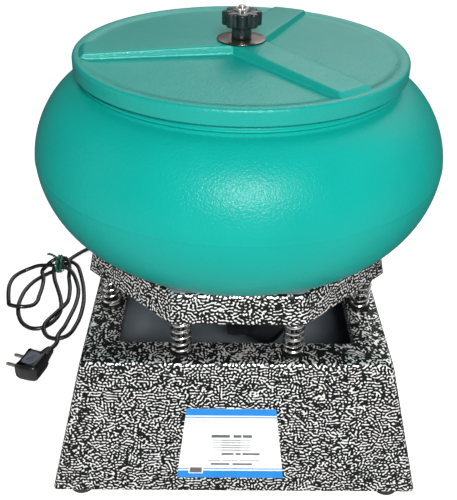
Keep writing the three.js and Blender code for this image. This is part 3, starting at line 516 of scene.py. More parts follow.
SHEET = 0.002
base_low, base_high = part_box("base_housing")
BASE_HALF, TOP_HALF = base_high.x, 0.1635
OPENING_HALF, LIP = 0.127, 0.012
FLANGE = 0.030
VEIN_PITCH, VEIN_EDGE, GAP_EDGE = 0.0032, 0.430, 0.455


def square_ring(half, corner, height, steps=5):
    """A level square with rounded corners, anticlockwise."""
    ring = []
    away = half - corner
    for quarter, (x, y) in enumerate(((away, away), (-away, away), (-away, -away), (away, -away))):
        for k in range(steps + 1):
            angle = math.pi / 2 * (quarter + k / steps)
            ring.append((x + corner * math.cos(angle), y + corner * math.sin(angle), height))
    return ring


def refinish(finish, *names):
    """Gives carried-over pieces of the frame a finish of their own."""
    for name in names:
        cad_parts[name].data.materials.clear()
        finish.coats(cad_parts[name])


def wormed(enamel, pitch):
    """A labyrinth of rounded worms a pitch apart, low in the veins and high in the gaps."""
    maze = enamel.nodes.new("ShaderNodeTexGabor")
    maze.gabor_type = "3D"
    for key, value in (("Scale", 1 / (2.5 * pitch)), ("Frequency", 2.5), ("Anisotropy", 0.0)):
        maze.inputs[key].default_value = value
    enamel.links.new(enamel.place, maze.inputs["Vector"])
    return maze.outputs["Value"]


hammertone = Finish("hammertone", (0.3, 0.3, 0.3), 0.3)
veins = wormed(hammertone, VEIN_PITCH)
hammertone.shades(veins, (0.0, (0.99, 0.98, 0.95)), (VEIN_EDGE, (0.98, 0.97, 0.94)),
                  (GAP_EDGE, (0.006, 0.007, 0.008)), (1.0, (0.003, 0.004, 0.005)))
hammertone.drives("Metallic", veins, VEIN_EDGE, GAP_EDGE, 0.70, 0.05)
hammertone.roughens(hammertone.noise(0.02, 2), 0.30, 0.42)
hammertone.relief(veins, 0.0004, 0.5)
hammertone.shader.inputs["Specular IOR Level"].default_value = 0.15
plain_grey = Finish("plain_grey", (0.15, 0.18, 0.20), 0.42).patterned(
    shade=(0.05, 3, (0.3, (0.19, 0.225, 0.255)), (0.7, (0.28, 0.325, 0.36))),
    rough=(0.012, 4, 0.32, 0.50), grain=(0.0022, 3, 0.00012, 0.5))

FOLD = 0.0045
z_low, z_top = base_low.z, base_high.z
slope = (BASE_HALF - TOP_HALF) / (z_top - z_low)
outer_path = eased([
    (BASE_HALF - SHEET - FLANGE, z_low), (BASE_HALF, z_low), (TOP_HALF, z_top),
    (OPENING_HALF, z_top), (OPENING_HALF, z_top - LIP)], [0, 0.003, 0.0045, 0.0035, 0])
inner_path = eased([
    (OPENING_HALF + SHEET, z_top - LIP), (OPENING_HALF + SHEET, z_top - SHEET),
    (TOP_HALF - SHEET - 0.0003, z_top - SHEET), (BASE_HALF - SHEET - 0.0003, z_low + SHEET),
    (BASE_HALF - SHEET - FLANGE, z_low + SHEET)], [0, 0.0015, 0.0025, 0.0012, 0])
base_rings = [square_ring(half, FOLD, height) for half, height in outer_path]
base_rings += [square_ring(half, FOLD - SHEET, height) for half, height in inner_path]
housing = skinned("base_shell", base_rings, round_path=True, sharp=40)
hammertone.coats(housing)
plain_grey.coats(housing)
ring_size = len(base_rings[0])
for face in housing.data.polygons:
    face.material_index = int(face.index // ring_size >= len(outer_path))
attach(housing, "base")
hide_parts("base_housing")
refinish(plain_grey, "base_floor_plate")

# ---------- front label
# A printed aluminium plate stuck on the sloping front: blue bands above and below a white
# field, plain bars where the wording would be, and a small square badge.

LABEL_TOP, LABEL_BOTTOM = 0.1139, 0.0307
LABEL_TOP_WIDE, LABEL_BOTTOM_WIDE = 0.0952, 0.1163
LABEL_MIDDLE = -0.0052
LABEL_THICK = 0.0007


def label_point(u, v, out):
    """u from -1 to 1 across the label, v from 0 at its foot to 1 at its head, out in front."""
    z = LABEL_BOTTOM + (LABEL_TOP - LABEL_BOTTOM) * v
    half = (LABEL_BOTTOM_WIDE + (LABEL_TOP_WIDE - LABEL_BOTTOM_WIDE) * v) / 2
    lean = math.atan(slope)
    y = -(BASE_HALF - slope * (z - z_low))
    return (LABEL_MIDDLE + half * u, y - out * math.cos(lean), z + out * math.sin(lean))


def label_patch(name, u0, u1, v0, v1, finish, low, high, corner=0.0):
    """A thin raised patch of the label's print."""
    plan = [(u0, v0), (u1, v0), (u1, v1), (u0, v1)]
    if corner:
        plan = eased(plan, corner, 4, closed=True)
    patch = skinned(name, [[label_point(u, v, out) for u, v in plan] for out in (low, high)])
    finish.coats(patch)
    return patch


def ink(name, colour):
    lighter = tuple(min(1, part * 1.08 + 0.003) for part in colour)
    return Finish(name, colour, 0.35).patterned(
        shade=(0.012, 3, (0.35, colour), (0.65, lighter)), grain=(0.002, 2, 0.00004, 0.4))


label_white = ink("label_white", (0.80, 0.80, 0.80))
label_blue = ink("label_blue", (0.006, 0.23, 0.66))
label_grey = ink("label_grey", (0.12, 0.12, 0.13))
label_pale = ink("label_pale", (0.42, 0.43, 0.44))
PRINT = 0.00012
RULES, RULE_FOOT, RULE_PITCH, RULE_THICK = 5, 0.405, 0.036, 0.010
below, above = LABEL_THICK - PRINT, LABEL_THICK + PRINT
patches = [label_patch("label_plate", -1, 1, 0, 1, label_white, 0.0, LABEL_THICK, 0.035)]
for finish, v0, v1, *spans in (
        (label_blue, 0.908, 1.0, (-1.0, 1.0)), (label_blue, 0.876, 0.888, (-1.0, 1.0)),
        (label_blue, 0.128, 0.140, (-1.0, 1.0)), (label_blue, 0.0, 0.104, (-1.0, 1.0)),
        (label_grey, 0.592, 0.630, (-0.40, -0.02), (0.06, 0.22), (0.25, 0.44)),
        (label_grey, 0.340, 0.366, (-0.18, 0.06), (0.10, 0.20), (0.24, 0.58)),
        (label_pale, 0.248, 0.262, (-0.44, -0.20), (-0.16, 0.14), (0.18, 0.56)),
        (label_grey, 0.192, 0.216, (-0.38, -0.02), (0.04, 0.42))):
    patches += [label_patch("label_band", *span, v0, v1, finish, below, above) for span in spans]
for v in RULE_FOOT + RULE_PITCH * np.arange(RULES):
    for u0, u1, finish in ((-0.36, -0.18, label_pale), (-0.18, 0.20, label_grey), (0.20, 0.40, label_pale)):
        patches.append(label_patch("label_rule", u0, u1, v, v + RULE_THICK, finish, below, above))
patches.append(label_patch("label_badge", -0.80, -0.52, 0.065, 0.165, label_white, below,
                           above + PRINT, 0.02))
patches.append(label_patch("label_badge", -0.775, -0.545, 0.078, 0.152, label_grey, LABEL_THICK,
                           above + 2 * PRINT, 0.015))
label = joined("front_label", patches)
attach(label, "base")

# ---------- feet
# Four black rubber feet with a worn lower edge, each held through the housing's flange by
# a zinc-plated pan-head screw sunk in its recess.

foot_side = [(0.0058, 0), (0.0130, 0), (0.0142, 0.0012), (0.0136, 0.0070), (0.0140, 0.0095),
             (0.0130, 0.0122), (0.0026, 0.0122), (0.0026, 0.00625), (0.0058, 0.00625)]
zinc = Finish("zinc_plate", (0.62, 0.61, 0.58), 0.3, 1.0).patterned(
    shade=(0.008, 4, (0.3, (0.52, 0.51, 0.47)), (0.7, (0.72, 0.71, 0.69))),
    rough=(0.003, 4, 0.22, 0.42), grain=(0.0007, 2, 0.00004, 0.5))
for number in range(1, 5):
    low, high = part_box(f"foot_{number}")
    foot = lathe(f"rubber_foot_{number}", eased(foot_side, 0.0007, 3, closed=True), 48, closed=True)
    placed(foot, ((low.x + high.x) / 2, (low.y + high.y) / 2, low.z))
    black_rubber.coats(foot)
    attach(foot, "base")
    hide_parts(f"foot_{number}")
    refinish(zinc, f"foot_screw_{number}")

# ---------- spring seats and springs
# Eight near-black steel posts bolted through the base's top: a pressed cup washer, a nut and a
# threaded stud. Their near-black colour is painted shade, which keeps the gaps between the coils dark.
# Each carries a bright plated compression spring with closed ends.

WIRE = 0.0034
SPRING_RADIUS = 0.0115 - WIRE / 2
OPEN_TURNS, CLOSED_TURNS, COIL_STEPS = 8, 2, 28
M8_PITCH = 0.00125


def threaded(name, radius, z0, z1, count=20, per_pitch=6):
    """A threaded stud: its surface rises and falls as a helix between two heights."""
    depth = 0.55 * M8_PITCH
    rings = [level_ring(0.55 * radius, z0, count)]
    steps = max(4, round((z1 - z0) / M8_PITCH * per_pitch))
    for z in (z0 + (z1 - z0) * i / steps for i in range(steps + 1)):
        fade = min(1, (z - z0) / M8_PITCH, (z1 - z) / M8_PITCH)
        waves = [abs(2 * ((z / M8_PITCH - j / count) % 1) - 1) for j in range(count)]
        rings.append(level_ring(
            [radius - depth * (wave * fade + 0.9 * (1 - fade)) for wave in waves], z, count))
    rings.append(level_ring(0.55 * radius, z1, count))
    return skinned(name, rings, sharp=60)


def hex_nut(name, across, bore, height, count=48):
    """A hexagon nut with its corners turned off at both faces."""
    turns = [2 * math.pi * j / count for j in range(count)]
    flats = [(across / 2) / math.cos((t + math.pi / 6) % (math.pi / 3) - math.pi / 6) for t in turns]
    rings = []
    for share, chamfer in ((0, 1), (0.12, 0.15), (0.5, 0), (0.88, 0.15), (1, 1)):
        corner = across * (1.02 / math.sqrt(3) - 0.075 * chamfer)
        rings.append(level_ring([min(flat, corner) for flat in flats], share * height, count))
    for z, grow in ((height, 0.0006), (height - 0.0006, 0), (0.0006, 0), (0, 0.0006)):
        rings.append(level_ring(bore + grow, z, count))
    return skinned(name, rings, round_path=True, sharp=28)


chrome = Finish("bright_spring_wire", (0.85, 0.85, 0.85), 0.24, 1.0).patterned(
    shade=(0.01, 3, (0.35, (0.80, 0.79, 0.77)), (0.65, (0.95, 0.95, 0.94))),
    rough=(0.004, 4, 0.13, 0.22), grain=(0.0012, 3, 0.00006, 0.4))
# The posts' near-black colour is painted shade: it keeps the gaps between the spring coils dark.
posts_painted_shade = Finish("post_steel_painted_shade", (0.02, 0.02, 0.02), 0.35, 0.6).patterned(
    shade=(0.003, 3, (0.3, (0.010, 0.010, 0.011)), (0.7, (0.030, 0.029, 0.028))),
    rough=(0.002, 3, 0.28, 0.45), grain=(0.0008, 2, 0.00004, 0.4))
SPRING_FOOT, SPRING_HEAD = (corner.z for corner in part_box("spring_1"))
closed_rise = WIRE * 1.02
open_rise = (SPRING_HEAD - SPRING_FOOT - WIRE - CLOSED_TURNS * closed_rise) / OPEN_TURNS
turns = OPEN_TURNS + CLOSED_TURNS
cup_side = eased([(0.0038, 0.0003), (0.0124, 0.0003), (0.0125, 0.0030), (0.0117, 0.0030), (0.0112, 0.0021),
                  (0.0076, 0.0021), (0.0070, 0.0062), (0.0038, 0.0062)], 0.0005, 3, closed=True)
for number in range(1, 9):
    low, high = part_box(f"spring_seat_{number}")
    x, y = (low.x + high.x) / 2, (low.y + high.y) / 2
    cup = lathe("seat_cup", cup_side, 48, closed=True)
    placed(cup, (0, 0, z_top))
    nut = hex_nut("seat_nut", 0.0100, 0.0034, 0.0048)
    placed(nut, (0, 0, z_top + 0.0064))
    stud = threaded("seat_stud", 0.0036, z_top - 0.009, high.z)
    seat = joined(f"guide_post_{number}", [cup, nut, stud])
    placed(seat, (x, y, 0), number * 0.7)
    posts_painted_shade.coats(seat)
    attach(seat, "base")
    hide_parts(f"spring_seat_{number}")

    coil = []
    for turn in np.arange(turns * COIL_STEPS + 1) / COIL_STEPS:
        foot_part, head_part = min(turn, 1), max(turn - turns + 1, 0)
        z = closed_rise * (foot_part + head_part) + open_rise * (turn - foot_part - head_part)
        angle = 2 * math.pi * (turn + number / 8 + 0.1)
        coil.append((x + SPRING_RADIUS * math.cos(angle), y + SPRING_RADIUS * math.sin(angle),
                     SPRING_FOOT + WIRE / 2 + z))
    spring = swept(f"coil_spring_{number}", coil, disc(WIRE / 2, 10))
    chrome.coats(spring)
    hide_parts(f"spring_{number}")
    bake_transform(spring)

# ---------- platform
# An octagonal tray pressed from steel sheet, its skirt flared outwards and its upper edge
# rounded. It has the base's hammertone outside and carries the bowl above and the motor below.

DECK_LOW, DECK_TOP = (corner.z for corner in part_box("platform"))
DECK_UNDER = DECK_TOP - 0.003
HALF_TOP, HALF_LOW = 0.1564, 0.1633
ROD_HOLE = 0.0046


def octagon_ring(half, corner, height, steps=4):
    """A level octagon with rounded corners; half is the distance to its flats."""
    ring = []
    corner = min(corner, 0.4 * half)
    away = (half - corner) / math.cos(math.pi / 8)
    for side in range(8):
        middle = math.pi / 4 * side + math.pi / 8
        for k in range(steps + 1):
            angle = middle - math.pi / 8 + math.pi / 4 * k / steps
            ring.append((away * math.cos(middle) + corner * math.cos(angle),
                         away * math.sin(middle) + corner * math.sin(angle), height))
    return ring


deck_path = eased([
    (ROD_HOLE, DECK_TOP), (0.05, DECK_TOP), (0.11, DECK_TOP), (HALF_TOP, DECK_TOP), (HALF_LOW, DECK_LOW),
    (HALF_LOW - SHEET, DECK_LOW), (HALF_TOP - SHEET + 0.0003, DECK_UNDER),
    (0.11, DECK_UNDER), (0.05, DECK_UNDER), (ROD_HOLE, DECK_UNDER)],
    [0, 0, 0, 0.005, 0.0006, 0.0006, 0.003, 0, 0, 0], closed=True)
deck = skinned("sprung_platform", [octagon_ring(half, 0.006, height) for half, height in deck_path],
               round_path=True, sharp=40)
hammertone.coats(deck)
plain_grey.coats(deck)
for face in deck.data.polygons:
    face.material_index = int(face.center.z > DECK_TOP - 0.0004)
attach(deck, "sprung_deck")
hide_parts("platform")

button_side = eased([(0, -0.0085), (0.0060, -0.0085), (0.0072, -0.0060), (0.0074, 0.0005), (0, 0.0005)],
                    0.0012, 4)
buttons = []
for number in range(1, 9):
    low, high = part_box(f"spring_{number}")
    buttons.append(lathe("spring_button", button_side, 32))
    placed(buttons[-1], ((low.x + high.x) / 2, (low.y + high.y) / 2, DECK_UNDER))
button = joined("spring_buttons", buttons)
zinc.coats(button)
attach(button, "sprung_deck")

# ---------- vibrating motor
# A short induction motor bolted under the platform through a welded cradle: dark painted bells
# with a bare laminated stator between them, a terminal box, and a fan-shaped weight at each end.

motor_paint = Finish("motor_paint", (0.02, 0.024, 0.026), 0.42).patterned(
    shade=(0.02, 4, (0.3, (0.014, 0.017, 0.019)), (0.7, (0.036, 0.041, 0.044))),
    rough=(0.008, 4, 0.34, 0.55), grain=(0.0016, 3, 0.00015, 0.6))
cut_steel = Finish("cut_steel", (0.30, 0.30, 0.31), 0.35, 1.0).patterned(
    shade=(0.012, 4, (0.3, (0.22, 0.22, 0.23)), (0.7, (0.40, 0.40, 0.40))),
    rough=(0.003, 3, 0.26, 0.50, (1, 1, 6)), grain=(0.0008, 2, 0.00006, 0.6, (1, 1, 5)))
blackened = Finish("blackened_steel", (0.012, 0.014, 0.015), 0.45, 0.3).patterned(
    shade=(0.015, 4, (0.3, (0.008, 0.009, 0.010)), (0.7, (0.022, 0.025, 0.027))),
    rough=(0.005, 4, 0.35, 0.6), grain=(0.0012, 3, 0.0001, 0.5))
refinish(motor_paint, "motor_cradle", "motor_upper_bell", "motor_lower_bell")
refinish(cut_steel, "motor_rotor", "upper_bearing", "lower_bearing")
refinish(zinc, "motor_bolt_1", "motor_bolt_2", "motor_bolt_3", "motor_bolt_4", "platform_nut",
         "bowl_washer", "bowl_nut")
refinish(black_rubber, "lid_seal")

stator_low, stator_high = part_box("motor_stator")
STATOR_BORE, LAMINATIONS, STEP_IN = 0.0343, 22, 0.0005
stack = [(STATOR_BORE, stator_low.z)]
heights = np.linspace(stator_low.z, stator_high.z, LAMINATIONS + 1)
for i, (z0, z1) in enumerate(zip(heights, heights[1:])):
    edge_out = stator_high.x - STEP_IN * (i % 2)
    stack += [(edge_out, z0 + 0.0002), (edge_out, z1 - 0.0002)]
stack.append((STATOR_BORE, stator_high.z))
stator = lathe("laminated_stator", stack, 72, closed=True)
cut_steel.coats(stator)
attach(stator, "sprung_deck")
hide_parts("motor_stator")

HALF_SPAN = math.radians(55)
slab_edge = [(0, 0.0009), (0.0003, 0.0003), (0.0009, 0)]
for name, radius, middle_angle in (("upper_weight", 0.056, 91), ("lower_weight", 0.067, 1)):
    low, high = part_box(name)
    plate_low = low.z + 0.002
    fan = [(radius * math.cos(a), radius * math.sin(a)) for a in np.linspace(-HALF_SPAN, HALF_SPAN, 28)]
    plan = eased([(-0.0145, -0.0105), *fan, (-0.0145, 0.0105)],
                 [0.006, 0.003, *[0] * 26, 0.003, 0.006], 4, closed=True)
    plate = layered("weight_plate", plan, bordered(plate_low, high.z, slab_edge))
    hub = lathe("weight_hub", eased([
        (0.0063, low.z), (0.0138, low.z), (0.0138, plate_low + 0.0004), (0.0063, plate_low + 0.0004)],
        0.0005, 3, closed=True), 48, closed=True)
    weight = joined("eccentric_" + name, [plate, hub])
    placed(weight, (0, 0, 0), math.radians(middle_angle))
    blackened.coats(weight)
    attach(weight, "rotor")
    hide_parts(name)

low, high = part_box("terminal_box")
box_plan = eased([(low.x, low.y), (high.x, low.y), (high.x, high.y), (low.x, high.y)],
                 [0.003, 0.003, 0.0006, 0.0006], closed=True)
lid_joint = [(0.008, 0), (0.0078, 0.0006), (0.0072, 0.0006), (0.0070, 0)]
lid_joint = [(high.z - depth, inset) for depth, inset in lid_joint]
case_edge = [(0, 0.0012), (0.0004, 0.0004), (0.0012, 0)]
case = layered("terminal_case", box_plan, bordered(low.z, high.z, case_edge, lid_joint))
blackened.coats(case)
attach(case, "sprung_deck")
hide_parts("terminal_box")

LEAD_LINE = [
    (-0.108, 0.1841, 0.0431), (-0.107, 0.174, 0.038), (-0.102, 0.158, 0.027), (-0.090, 0.140, 0.023),
    (-0.076, 0.122, 0.028), (-0.070, 0.104, 0.048), (-0.070, 0.084, 0.080), (-0.071, 0.060, 0.116),
    (-0.070, 0.030, 0.140), (-0.066, -0.004, 0.148), (-0.054, -0.036, 0.147), (-0.036, -0.054, 0.144),
    (-0.020, -0.060, 0.142), (-0.0096, -0.0606, 0.1415),
]
lead = swept("motor_flex", through(LEAD_LINE, 0.004), disc(FLEX_RADIUS, 14))
black_pvc.coats(lead)
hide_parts("motor_lead")
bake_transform(lead)

# ---------- bowl
# One rotationally moulded polyethylene bowl with a hollow middle column, a fine pebbled skin
# outside, a faint line round its widest part where the mould opens, and a bead under the neck.

BOWL_FOOT_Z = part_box("bowl")[0].z
BOWL_WIDE, FOOT_WIDE, NECK, WALL = 0.218, 0.139, 0.164, 0.005
EQUATOR, SHOULDER, BOWL_RIM = 0.0943, 0.1707, 0.1877
LOWER_POWER, UPPER_POWER = 1.9, 1.7
COLUMN_HIGH, COLUMN_TOP, COLUMN_FOOT = 0.1697, 0.016, 0.034


def bulge(wide, narrow, z_wide, z_flat, power, steps=36):
    """A quarter of a super-ellipse from the widest ring to the flat end."""
    arc = []
    for t in np.linspace(0, math.pi / 2, steps + 1):
        out, up = max(math.cos(t), 0) ** (2 / power), math.sin(t) ** (2 / power)
        arc.append((narrow + (wide - narrow) * out, z_wide + (z_flat - z_wide) * up))
    return arc


inside, mouth = BOWL_WIDE - WALL, NECK - WALL
below = bulge(BOWL_WIDE, FOOT_WIDE, EQUATOR, 0, LOWER_POWER)
above = bulge(BOWL_WIDE, NECK, EQUATOR, SHOULDER, UPPER_POWER)
seam = [(BOWL_WIDE - 0.00002, EQUATOR - 0.0011), (BOWL_WIDE + 0.00022, EQUATOR - 0.0004),
        (BOWL_WIDE + 0.00022, EQUATOR + 0.0004), (BOWL_WIDE - 0.00002, EQUATOR + 0.0011)]
outer_low = [point for point in reversed(below) if point[1] < EQUATOR - 0.0015]
outer_high = [point for point in above if point[1] > EQUATOR + 0.0015]
neck = eased([(NECK, SHOULDER + 0.001), (NECK, SHOULDER + 0.0036), (NECK + 0.0022, SHOULDER + 0.0052),
              (NECK + 0.0022, SHOULDER + 0.0062), (NECK, SHOULDER + 0.0078), (NECK, BOWL_RIM),
              (mouth, BOWL_RIM), (mouth, SHOULDER)],
             [0, 0.001, 0.001, 0.001, 0.001, 0.002, 0.002, 0.004], 4)
inner_high = list(reversed(bulge(inside, mouth, EQUATOR, SHOULDER - WALL, UPPER_POWER)))
inner_low = bulge(inside, FOOT_WIDE, EQUATOR, WALL, LOWER_POWER)[1:]
column = eased([(COLUMN_FOOT + 0.018, WALL), (COLUMN_FOOT + 0.003, WALL + 0.003),
                (COLUMN_FOOT - 0.001, WALL + 0.014), (COLUMN_TOP, COLUMN_HIGH - 0.003),
                (COLUMN_TOP - 0.003, COLUMN_HIGH), (0.0046, COLUMN_HIGH), (0.0046, COLUMN_HIGH - 0.006),
                (COLUMN_TOP - WALL, COLUMN_HIGH - 0.006), (COLUMN_FOOT - WALL, 0)],
               [0, 0.006, 0.01, 0.003, 0.002, 0, 0, 0.002, 0], 5)
bowl_side = [*outer_low, *seam, *outer_high, *neck, *inner_high, *inner_low, *column]
bowl = lathe("moulded_bowl", [(r, z + BOWL_FOOT_Z) for r, z in bowl_side], 192, closed=True)
TEALS = (0.004, 0.43, 0.365), (0.0025, 0.385, 0.325)


def teal_plastic(name, depth, specular, roughness):
    """The pebbled teal polyethylene of the bowl and its lid; depth scales its colour, and the lid's lower depth
    is painted shade.
    """
    teal = Finish(name, (0.003, 0.40, 0.34), roughness)
    paler, deeper = [tuple(part * depth for part in colour) for colour in TEALS]
    teal.shades(teal.noise(0.12, 3), (0.3, deeper), (0.7, paler))
    teal.shader.inputs["Specular IOR Level"].default_value = specular
    teal.roughens(teal.noise(0.03, 4), roughness - 0.03, roughness + 0.05)
    teal.relief(teal.noise(0.0022, 1, 0.5), 0.0009, 0.5)
    teal.relief(teal.noise(0.035, 2), 0.0006, 0.25)
    return teal


teal = teal_plastic("teal_polyethylene", 0.86, 0.18, 0.32)
teal.coats(bowl)
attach(bowl, "sprung_deck")
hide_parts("bowl")

# ---------- tie rod
# An M8 rod of zinc-plated steel with rolled threads. It is bolted to the platform, runs up
# through the bowl's column, and ends in a bright tip above the knob.

ROD_LOW, ROD_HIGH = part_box("tie_rod")
ROD_RADIUS, SHANK_RADIUS, OVERLAP = 0.004, 0.0038, 0.001
thread_low = ROD_LOW.z + 0.018
thread_high = ROD_HIGH.z - 0.085
ends = thread_low - OVERLAP, thread_high + OVERLAP
shank = lathe("rod_shank", [
    (0, ends[0]), (SHANK_RADIUS, ends[0]), (SHANK_RADIUS, ends[1]), (0, ends[1])], 24)
rod = joined("threaded_tie_rod", [
    shank, threaded("rod_foot", ROD_RADIUS, ROD_LOW.z, thread_low),
    threaded("rod_head", ROD_RADIUS, thread_high, ROD_HIGH.z)])
zinc.coats(rod)
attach(rod, "sprung_deck")
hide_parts("tie_rod")

# ---------- lid
# A thick teal lid moulded in the bowl's plastic: a raised rim, three flat-topped ribs that meet
# at the hub, softly filleted at their feet, and an edge that hangs over the bowl's neck.

LID_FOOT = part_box("lid")[0].z
LID_RADIUS, LID_HIGH, RIM_WIDE, LID_EDGE = 0.1709, 0.0157, 0.0119, 0.003
UNDERSIDE = 0.0091
FLOOR_MIDDLE, FLOOR_EDGE = LID_HIGH - 0.0004, LID_HIGH - 0.0022
RIB_WIDE, RIB_HIGH, RIB_END, HUB_FLAT, TOE = 0.0396, 0.024, 0.0197, 0.028, 0.0085
RIB_WAYS = (-52.3, 67.7, 187.7)
rim_in = LID_RADIUS - RIM_WIDE


def floor_height(radius):
    return FLOOR_MIDDLE + (FLOOR_EDGE - FLOOR_MIDDLE) * min(radius / rim_in, 1)


def rib_height(radius):
    """The rib's top: level over the hub, falling to the rim, then rounded down onto it."""
    fall = min(max((radius - HUB_FLAT) / (rim_in - HUB_FLAT), 0), 1)
    top = RIB_HIGH + (RIB_END - RIB_HIGH) * fall
    toe = min(max((radius - rim_in + 0.001) / TOE, 0), 1)
    return top + (LID_HIGH - 0.0012 - top) * (1 - math.cos(math.pi * toe)) / 2


lid_side = eased([
    (0, UNDERSIDE), (LID_RADIUS - LID_EDGE, UNDERSIDE), (LID_RADIUS - LID_EDGE, 0), (LID_RADIUS, 0),
    (LID_RADIUS, LID_HIGH), (rim_in + 0.0035, LID_HIGH), (rim_in - 0.0035, FLOOR_EDGE),
    (0.1, floor_height(0.1)), (0.05, floor_height(0.05)), (0, FLOOR_MIDDLE)],
    [0, 0.001, 0.0008, 0.0010, 0.0052, 0.0035, 0.0050, 0, 0, 0], 7)
lid = lathe("lid_shell", lid_side, 192)

half = RIB_WIDE / 2
flare = 0.0026
rib_side = [(half + flare, -0.5), (half + flare, 0.0)]
rib_side += [(half + flare * (1 - math.sin(t)), 0.30 * (1 - math.cos(t))) for t in np.linspace(0.3, 1.5, 4)]
rib_side += [(half - 0.0004, 0.6), (half - 0.0008, 0.82), (half - 0.0011, 0.90), (half - 0.0018, 0.962),
             (half - 0.0028, 0.992), (half - 0.0042, 1.0)]
rib_side += [(half * share, 1.0) for share in (0.6, 0.3, 0.0)]
profile = rib_side + [(-out, up) for out, up in reversed(rib_side[:-1])]
profile += [(-half * 0.5, -0.5), (0.0, -0.5), (half * 0.5, -0.5)]
reaches = [0.0, 0.02, HUB_FLAT, 0.04, 0.06, 0.085, 0.11, 0.135, 0.150,
           *np.linspace(rim_in - 0.004, rim_in + TOE, 12)]
rib_verts, rib_faces = [], []
for way in RIB_WAYS:
    turn = Matrix.Rotation(math.radians(way), 3, "Z")
    start = len(rib_verts)
    for reach in reaches:
        for out, up in profile:
            mitre = abs(out) / math.sqrt(3)
            along = mitre if reach == 0 else max(math.sqrt(max(reach ** 2 - out ** 2, 0)), mitre + reach * 0.1)
            radius = math.hypot(along, out)
            foot = min(floor_height(radius), LID_HIGH) - 0.0004
            if radius > rim_in:
                foot = LID_HIGH - 0.0016
            top = max(rib_height(radius), foot)
            height = foot + (top - foot) * up if up >= 0 else foot - 0.002
            rib_verts.append(turn @ Vector((along, out, height)))
    count = len(profile)
    for i in range(len(reaches) - 1):
        for j in range(count):
            k = (j + 1) % count
            a, b = start + i * count, start + (i + 1) * count
            rib_faces.append((a + j, b + j, b + k, a + k))
    tip = start + (len(reaches) - 1) * count
    rib_faces.append(tuple(tip + j for j in range(count)))
rib_mesh = bpy.data.meshes.new("lid_ribs")
rib_mesh.from_pydata(rib_verts, [], rib_faces)
ribs = link("lid_ribs", rib_mesh)


def welded(thing, gap=1e-6):
    """Merges doubled points and turns the faces outwards."""
    work = bmesh.new()
    work.from_mesh(thing.data)
    bmesh.ops.remove_doubles(work, verts=work.verts, dist=gap)
    bmesh.ops.recalc_face_normals(work, faces=work.faces)
    work.to_mesh(thing.data)
    work.free()


def baked(thing):
    """Works the thing's modifiers into its mesh."""
    solved = thing.evaluated_get(bpy.context.evaluated_depsgraph_get())
    solved = bpy.data.meshes.new_from_object(solved)
    thing.modifiers.clear()
    thing.data = solved


welded(ribs)
welded(lid)
bore = lathe("lid_bore", [(0, 0), (ROD_HOLE, 0), (ROD_HOLE, 0.03), (0, 0.03)], 32)
for operation, tool in (("UNION", ribs), ("DIFFERENCE", bore)):
    cut = lid.modifiers.new(tool.name, "BOOLEAN")
    cut.operation = operation
    cut.solver = "EXACT"
    cut.object = tool
baked(lid)
for spent in (ribs, bore):
    bpy.data.objects.remove(spent)
lid.name = "ribbed_lid"
placed(lid, (0, 0, LID_FOOT))
lid.data.shade_smooth()
lid.data.set_sharp_from_angle(angle=math.radians(30))
even = lid.modifiers.new("even_shading", "WEIGHTED_NORMAL")
even.keep_sharp = True
even.weight = 100
baked(lid)
lid.data.materials.clear()
# The lid's teal is a darker copy of the bowl's, 0.78 against 0.86: painted shade for its top, which the low
# front lamp lights less.
teal_plastic("teal_lid_painted_shade", 0.78, 0.38, 0.34).coats(lid)
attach(lid, "lid")
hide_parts("lid")

# ---------- clamp washer
# A large steel washer with a dark bronzed, glossy face and rounded edges, which spreads
# the knob's load over the lid's hub.

low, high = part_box("lid_washer")
washer = lathe("clamp_disc", eased([
    (0.0044, low.z), (high.x, low.z), (high.x, high.z), (0.0044, high.z)],
    [0, 0.0006, 0.0006, 0.0003], 4, closed=True), 96, closed=True)
bronzed = Finish("bronzed_steel", (0.10, 0.082, 0.066), 0.16, 0.9).patterned(
    shade=(0.015, 4, (0.3, (0.20, 0.165, 0.14)), (0.7, (0.29, 0.245, 0.215))),
    rough=(0.006, 4, 0.10, 0.26), grain=(0.0014, 2, 0.00003, 0.5, (1, 5, 1)))
edge_black = Finish("washer_edge", (0.010, 0.010, 0.010), 0.4, 0.4).patterned(
    shade=(0.004, 3, (0.3, (0.007, 0.007, 0.007)), (0.7, (0.018, 0.017, 0.016))))
bronzed.coats(washer)
edge_black.coats(washer)
for face in washer.data.polygons:
    face.material_index = int(abs(face.normal.z) < 0.5)
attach(washer, "clamp_washer")
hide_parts("lid_washer")

# ---------- hand knob
# A black phenolic star knob of eight lobes on a round stem, its edges rounded by the mould,
# with a knurled steel insert standing proud of its crown.

KNOB_RADIUS, LOBES, LOBE_DEPTH, KNOB_POINTS = 0.020, 8, 0.0044, 160
STEM, STEM_HIGH, HEAD_HIGH, INSERT = 0.01025, 0.0126, 0.0145, 0.007
KNURLS, KNURL_DEPTH = 24, 0.00018


def star_ring(height, shrink=0.0, depth=LOBE_DEPTH):
    """The knob's outline: round-topped lobes with narrower hollows between them."""
    waves = [(1 - math.cos(LOBES * 2 * math.pi * j / KNOB_POINTS)) / 2 for j in range(KNOB_POINTS)]
    return level_ring([KNOB_RADIUS - shrink - depth * wave ** 1.5 for wave in waves], height, KNOB_POINTS)


def plain_ring(height, radius):
    return level_ring(radius, height, KNOB_POINTS)


